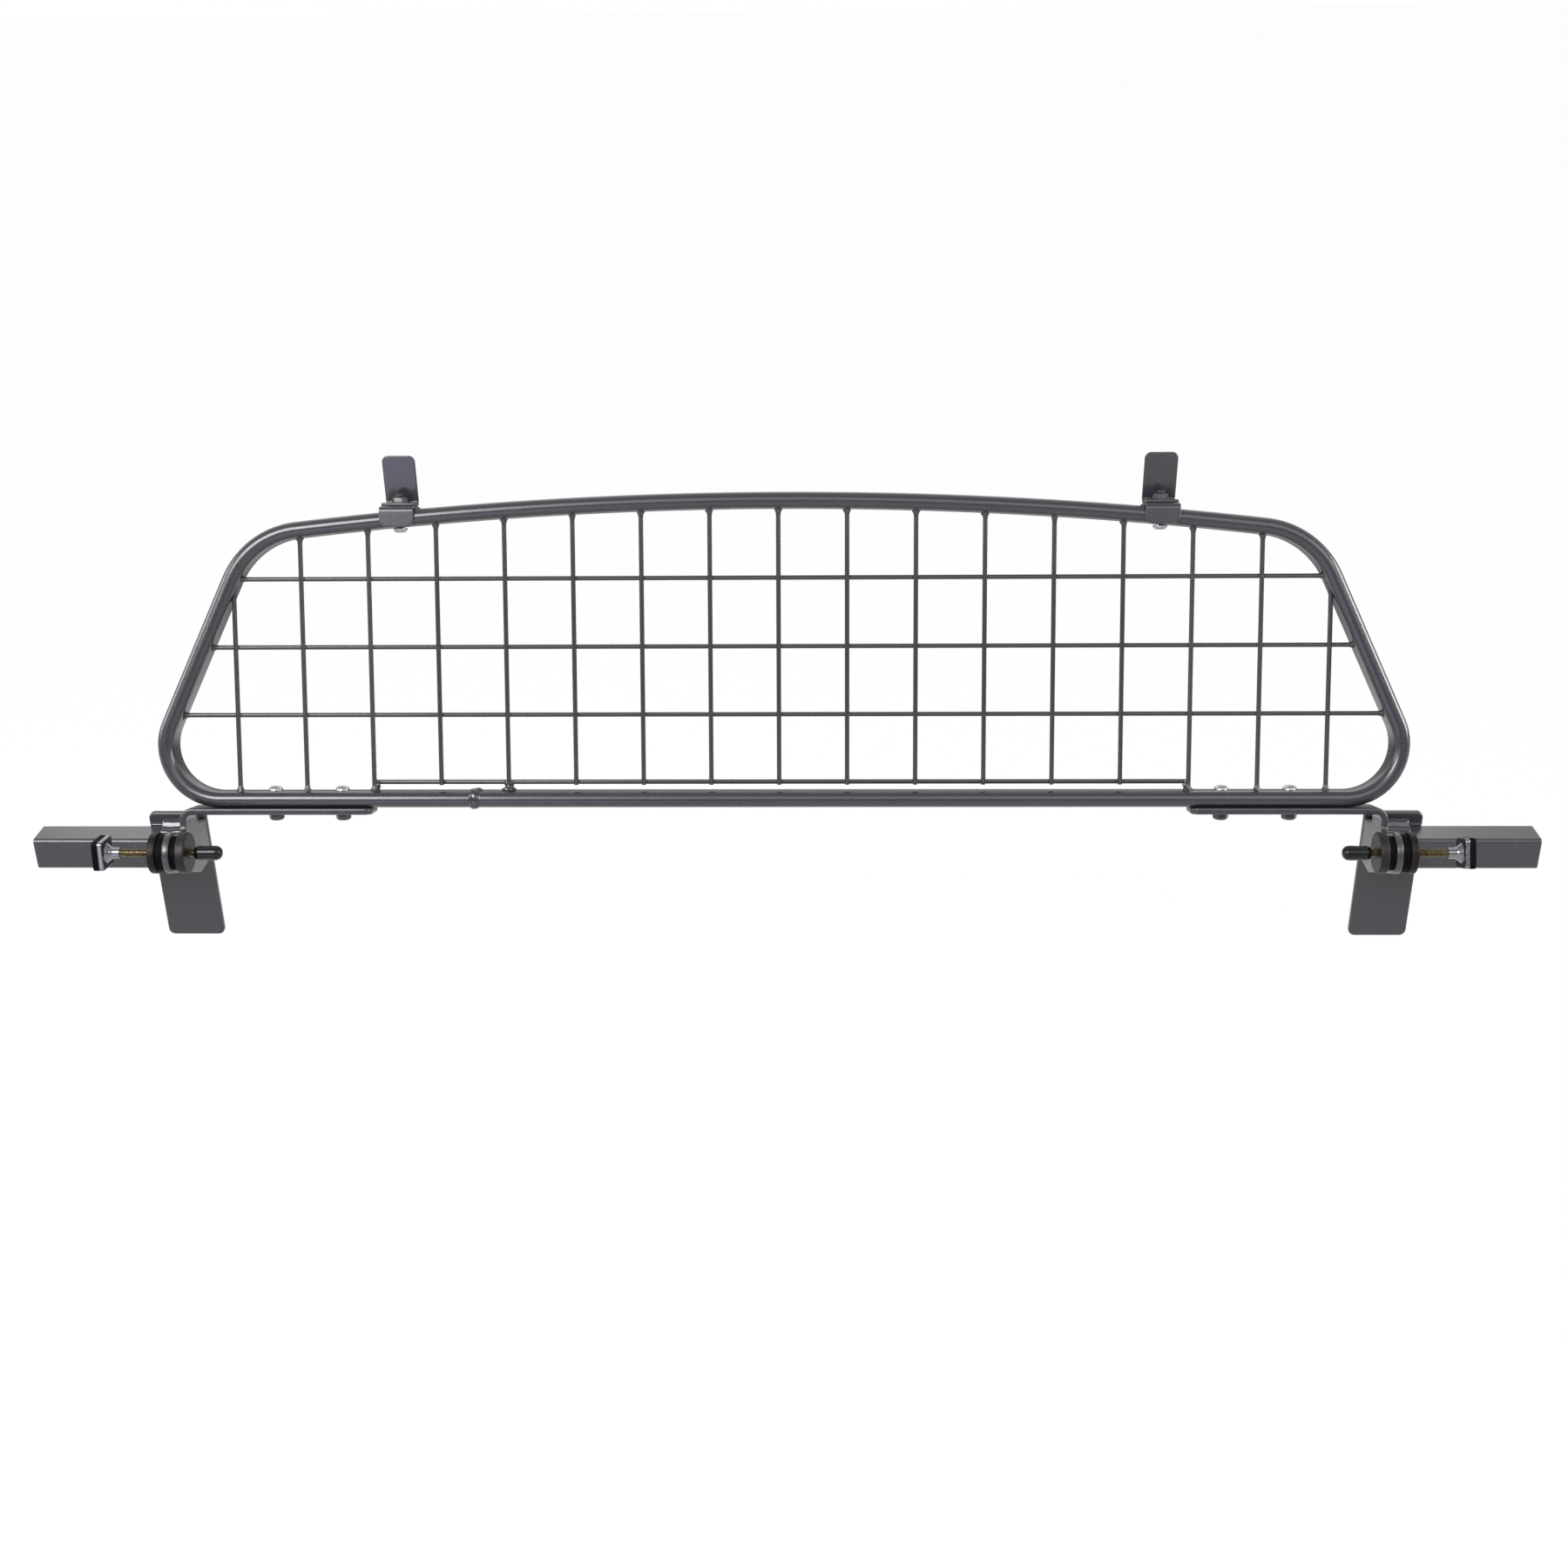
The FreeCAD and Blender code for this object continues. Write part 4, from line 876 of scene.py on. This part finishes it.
def make_washer(side, sign, which):
    """A rubber washer between a wheel and the nose, its rims rounded."""
    node = f"{side}_{which}_washer"
    near, far = reach_along(node)
    radius, width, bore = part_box(node)[1].z, far - near, WASHER_BORE
    profile = [(bore, 0), (radius, 0), (radius, width), (bore, width), (bore, 0)]
    bm = lathe(profile, WASHER_STEPS, ((1, WASHER_ROUND, 3), (2, WASHER_ROUND, 3)))
    finish_piece(placed(bm, outwards(sign, near)), f"{node}_turned", "root", RUBBER,
                 (node,), flat=True)


def make_rod(side, sign):
    """The threaded rod: one turn's ridge carried along it by the spin."""
    node = f"{side}_jack_rod"
    near, far = reach_along(node)
    bm = bmesh.new()
    turns = int((far - near) / THREAD_PITCH) - 1
    # Corners of the ridge: radius, and share of the pitch
    ridge = ((THREAD_ROOT, 0), (THREAD_RADIUS, 0.42), (THREAD_RADIUS, 0.58), (THREAD_ROOT, 1))
    verts = [bm.verts.new((radius, 0, share * THREAD_PITCH)) for radius, share in ridge]
    edges = [bm.edges.new(pair) for pair in zip(verts, verts[1:])]
    bmesh.ops.spin(
        bm, geom=verts + edges, cent=(0, 0, 0), axis=(0, 0, 1),
        dvec=(0, 0, THREAD_PITCH / THREAD_STEPS), angle=2 * math.pi * turns,
        steps=THREAD_STEPS * turns, use_merge=False, use_duplicate=False)
    bmesh.ops.remove_doubles(bm, verts=bm.verts, dist=SAME_THREAD_POINT)
    fill_holes(bm)
    bmesh.ops.recalc_face_normals(bm, faces=bm.faces)
    finish_piece(placed(bm, outwards(sign, near)), f"{node}_thread", f"{side}_rod", THREAD,
                 (node,), SHARP_ON_NUTS)


def make_cap(side, sign):
    """The soft cap on the rod's inner end, domed, drawn in at its mouth."""
    node = f"{side}_rod_cap"
    near, far = reach_along(node)
    radius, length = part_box(node)[1].z, far - near
    mouth = THREAD_RADIUS * 1.02
    profile = [(0, 0), (radius * 0.96, 0), (radius, length * 0.35), (radius * 0.95, length * 0.6),
               (radius, length * 0.84), (radius * 0.76, length), (mouth, length),
               (mouth, length * 0.8), (0, length * 0.8)]
    rounds = ((1, radius * 0.85, 8), (2, 1.5 * MM, 3), (3, 1.5 * MM, 3), (4, 1.2 * MM, 4),
              (5, 0.5 * MM, 3), (6, 0.3 * MM, 2))
    bm = lathe(profile, CAP_STEPS, rounds)
    finish_piece(placed(bm, outwards(sign, near)), f"{node}_moulded", f"{side}_rod", CAP,
                 (node,), SHARP_ON_BENDS)


def make_foot(side, sign):
    """The plated foot: barrel, flared neck and square plate, with its rubber pad."""
    node, pad = f"{side}_jack_foot", f"{side}_foot_pad"
    near, far = reach_along(node)
    pad_near, pad_far = reach_along(pad)
    place = outwards(sign, near) @ Matrix.Rotation(FOOT_TURNS[side], 4, "Z")
    neck = far - near - FOOT_THICKNESS
    profile = [(BARREL_BORE, 0.3 * MM), (BARREL_RADIUS, 0), (BARREL_RADIUS, neck * 0.62),
               (NECK_RADIUS, neck * 1.03), (0, neck * 1.03)]
    bm = bmesh.new()
    put(bm, lathe(profile, FOOT_STEPS, ((1, 0.3 * MM, 2), (2, 1.8 * MM, 5))), place)
    put(bm, square_block(FOOT_WIDTH, FOOT_THICKNESS, FOOT_EDGE),
        place @ Matrix.Translation((0, 0, neck)))
    finish_piece(bm, f"{node}_plated", f"{side}_foot", FOOT_ZINC, (node,),
                 flat=True)
    facing = square_block(FOOT_WIDTH, pad_far - pad_near, PAD_EDGE)
    finish_piece(placed(facing, place @ Matrix.Translation((0, 0, far - near))),
                 f"{pad}_moulded", f"{side}_foot", RUBBER, (pad,), flat=True)


def square_block(width, thickness, edge):
    """A square plate with rounded corners and softened edges, standing on the XY plane."""
    bm = bmesh.new()
    bmesh.ops.create_cube(bm, size=1)
    bmesh.ops.scale(bm, vec=(width, width, thickness), verts=bm.verts)
    bmesh.ops.translate(bm, vec=(0, 0, thickness / 2), verts=bm.verts)
    upright = [e for e in bm.edges if abs(e.verts[0].co.z - e.verts[1].co.z) > thickness / 2]
    rounded(bm, upright, FOOT_CORNER, 6)
    rounded(bm, square_rims(bm), edge, 4)
    return bm


# Studio

def make_floor():
    """A pale floor below the guard: white to the camera but for the guard's soft shadow.

    In reflections it glows too, and less so far behind the guard.
    """
    bm = bmesh.new()
    bmesh.ops.create_grid(bm, x_segments=1, y_segments=1, size=FLOOR_REACH,
                          matrix=Matrix.Translation((0, 0, cad_box[0].z - FLOOR_DROP)))
    mesh = bpy.data.meshes.new("floor")
    bm.to_mesh(mesh)
    bm.free()
    floor = bpy.data.objects.new("floor", mesh)
    bpy.context.scene.collection.objects.link(floor)
    finish = Finish("pale_floor", Roughness=0.9, Specular_IOR_Level=0.1)
    shade = finish.blend(finish.noise(0.4, 2), (0.80, 0.80, 0.80), (0.83, 0.83, 0.83))
    finish.set("Base Color", shade)
    light_path = finish.add("ShaderNodeLightPath").outputs
    glossy = Strength(finish, light_path["Is Glossy Ray"])
    seen = (Strength(finish, light_path["Is Camera Ray"]) + glossy
            + Strength(finish, light_path["Is Transmission Ray"]))
    behind = finish.spread(finish.along("Y"), 0.6, 0.9)
    glow = finish.add("ShaderNodeEmission", {}, {
        "Color": (1, 1, 1, 1), "Strength": 1.06 - glossy * behind * 0.8})
    both = finish.add("ShaderNodeMixShader", {}, {
        0: finish.spread(seen, 0, 1) * 0.9, 1: finish.shader.outputs[0], 2: glow.outputs[0]})
    finish.links.new(both.outputs[0], finish.nodes["Material Output"].inputs["Surface"])
    mesh.materials.append(finish.material)


def make_world():
    """White to the camera, and a low even light on the guard.

    In reflections it is white behind and dim on the camera's side, dimmest below.
    """
    world = bpy.data.worlds.new("studio")
    bpy.context.scene.world = world
    world.use_nodes = True
    nodes, links = world.node_tree.nodes, world.node_tree.links

    def add(kind, inputs, **settings):
        node = nodes.new(kind)
        for key, value in settings.items():
            setattr(node, key, value)
        for key, value in inputs.items():
            if isinstance(value, bpy.types.NodeSocket):
                links.new(value, node.inputs[key])
            else:
                node.inputs[key].default_value = value
        return node.outputs

    light_path = nodes.new("ShaderNodeLightPath").outputs
    place = nodes.new("ShaderNodeTexCoord").outputs["Generated"]
    towards = add("ShaderNodeSeparateXYZ", {0: place})
    behind = add("ShaderNodeMapRange", {
        "Value": towards["Y"], "From Min": -0.2, "From Max": 0.4}, interpolation_type="SMOOTHSTEP")
    height = add("ShaderNodeMapRange", {
        "Value": towards["Z"], "From Min": -0.35, "From Max": 0.5, "To Min": 0.2, "To Max": 0.4},
        interpolation_type="SMOOTHSTEP")
    around = add("ShaderNodeMix", {
        "Factor": behind["Result"], "A": height["Result"], "B": 1.0})
    shown = add("ShaderNodeMath", {
        0: light_path["Is Camera Ray"], 1: light_path["Is Transmission Ray"]}, operation="MAXIMUM")
    clear = add("ShaderNodeMix", {"Factor": shown[0], "A": around["Result"], "B": 1.0})
    seen = add("ShaderNodeMath", {0: shown[0], 1: light_path["Is Glossy Ray"]},
               operation="MAXIMUM")
    level = add("ShaderNodeMix", {"Factor": seen[0], "A": 0.3, "B": clear["Result"]})
    background = nodes["Background"]
    background.inputs["Color"].default_value = (1, 1, 1, 1)
    links.new(level["Result"], background.inputs["Strength"])


def make_lamp(name, place, aim, size, power, sheen_only=True, tint=(1, 1, 1)):
    """A soft rectangular lamp aimed at a point: seen only in reflections, or lighting only."""
    light = bpy.data.lights.new(name, "AREA")
    light.color = tint
    light.shape = "RECTANGLE"
    light.size, light.size_y = size
    light.energy = power
    lamp = bpy.data.objects.new(name, light)
    lamp.location = place
    lamp.rotation_euler = (Vector(aim) - Vector(place)).to_track_quat("-Z", "Y").to_euler()
    lamp.visible_diffuse = not sheen_only
    lamp.visible_glossy = sheen_only
    lamp.visible_camera = False
    bpy.context.scene.collection.objects.link(lamp)


def make_lamps():
    """One softbox lights the guard; the rest give the paint its sheen, strongest at the left."""
    make_lamp("key_softbox", (-0.2, -1.29, 1.43), (0, 0.05, 0.1), (2.4, 0.9), 39, False)
    # Sheen lamps over the camera: middle and width across, and power
    for name, across, width, power in (
            ("left_sheen", -1.41, 1.18, 46), ("left_fade", -1.31, 1.38, 48),
            ("long_sheen", 0, 3.4, 12), ("right_sheen", 1.35, 1.1, 46)):
        make_lamp(name, (across, -1.28, 1.42), (across, 0.05, 0.1), (width, 0.9), power)
    make_lamp("back_sheen", (-0.1, 1.9, 1.0), (0, 0.05, 0), (2.6, 1.0), 6.8)
    make_lamp("right_side_sheen", (2, 0, 0.6), (0.42, 0, 0.1), (0.8, 0.8), 24)
    make_lamp("left_side_sheen", (-2, 0, 0.6), (-0.42, 0, 0.1), (0.8, 0.8), 13)
    make_lamp("low_sheen", (-0.63, -1.27, -0.17), (-0.287, 0, 0.25), (0.7, 0.4), 1.5,
              tint=(0.6, 0.62, 1))


def make_camera():
    """The photograph's viewpoint: in front, 26 degrees above, with a narrow lens."""
    camera = bpy.data.cameras.new("camera")
    camera.sensor_width = CAMERA_SENSOR
    camera.lens = CAMERA_LENS
    viewer = bpy.data.objects.new("camera", camera)
    viewer.matrix_world = (
        Matrix.Translation(CAMERA_PLACE) @ Matrix.Rotation(CAMERA_YAW, 4, "Z")
        @ Matrix.Rotation(math.pi / 2 - CAMERA_PITCH, 4, "X")
        @ Matrix.Rotation(-CAMERA_ROLL, 4, "Z"))
    bpy.context.scene.collection.objects.link(viewer)
    bpy.context.scene.camera = viewer


make_hoop()
make_seam()
make_mesh()
make_fasteners()
make_brackets()
make_jacks()
make_floor()
make_world()
make_lamps()
make_camera()
bpy.context.scene.view_settings.view_transform = "Standard"
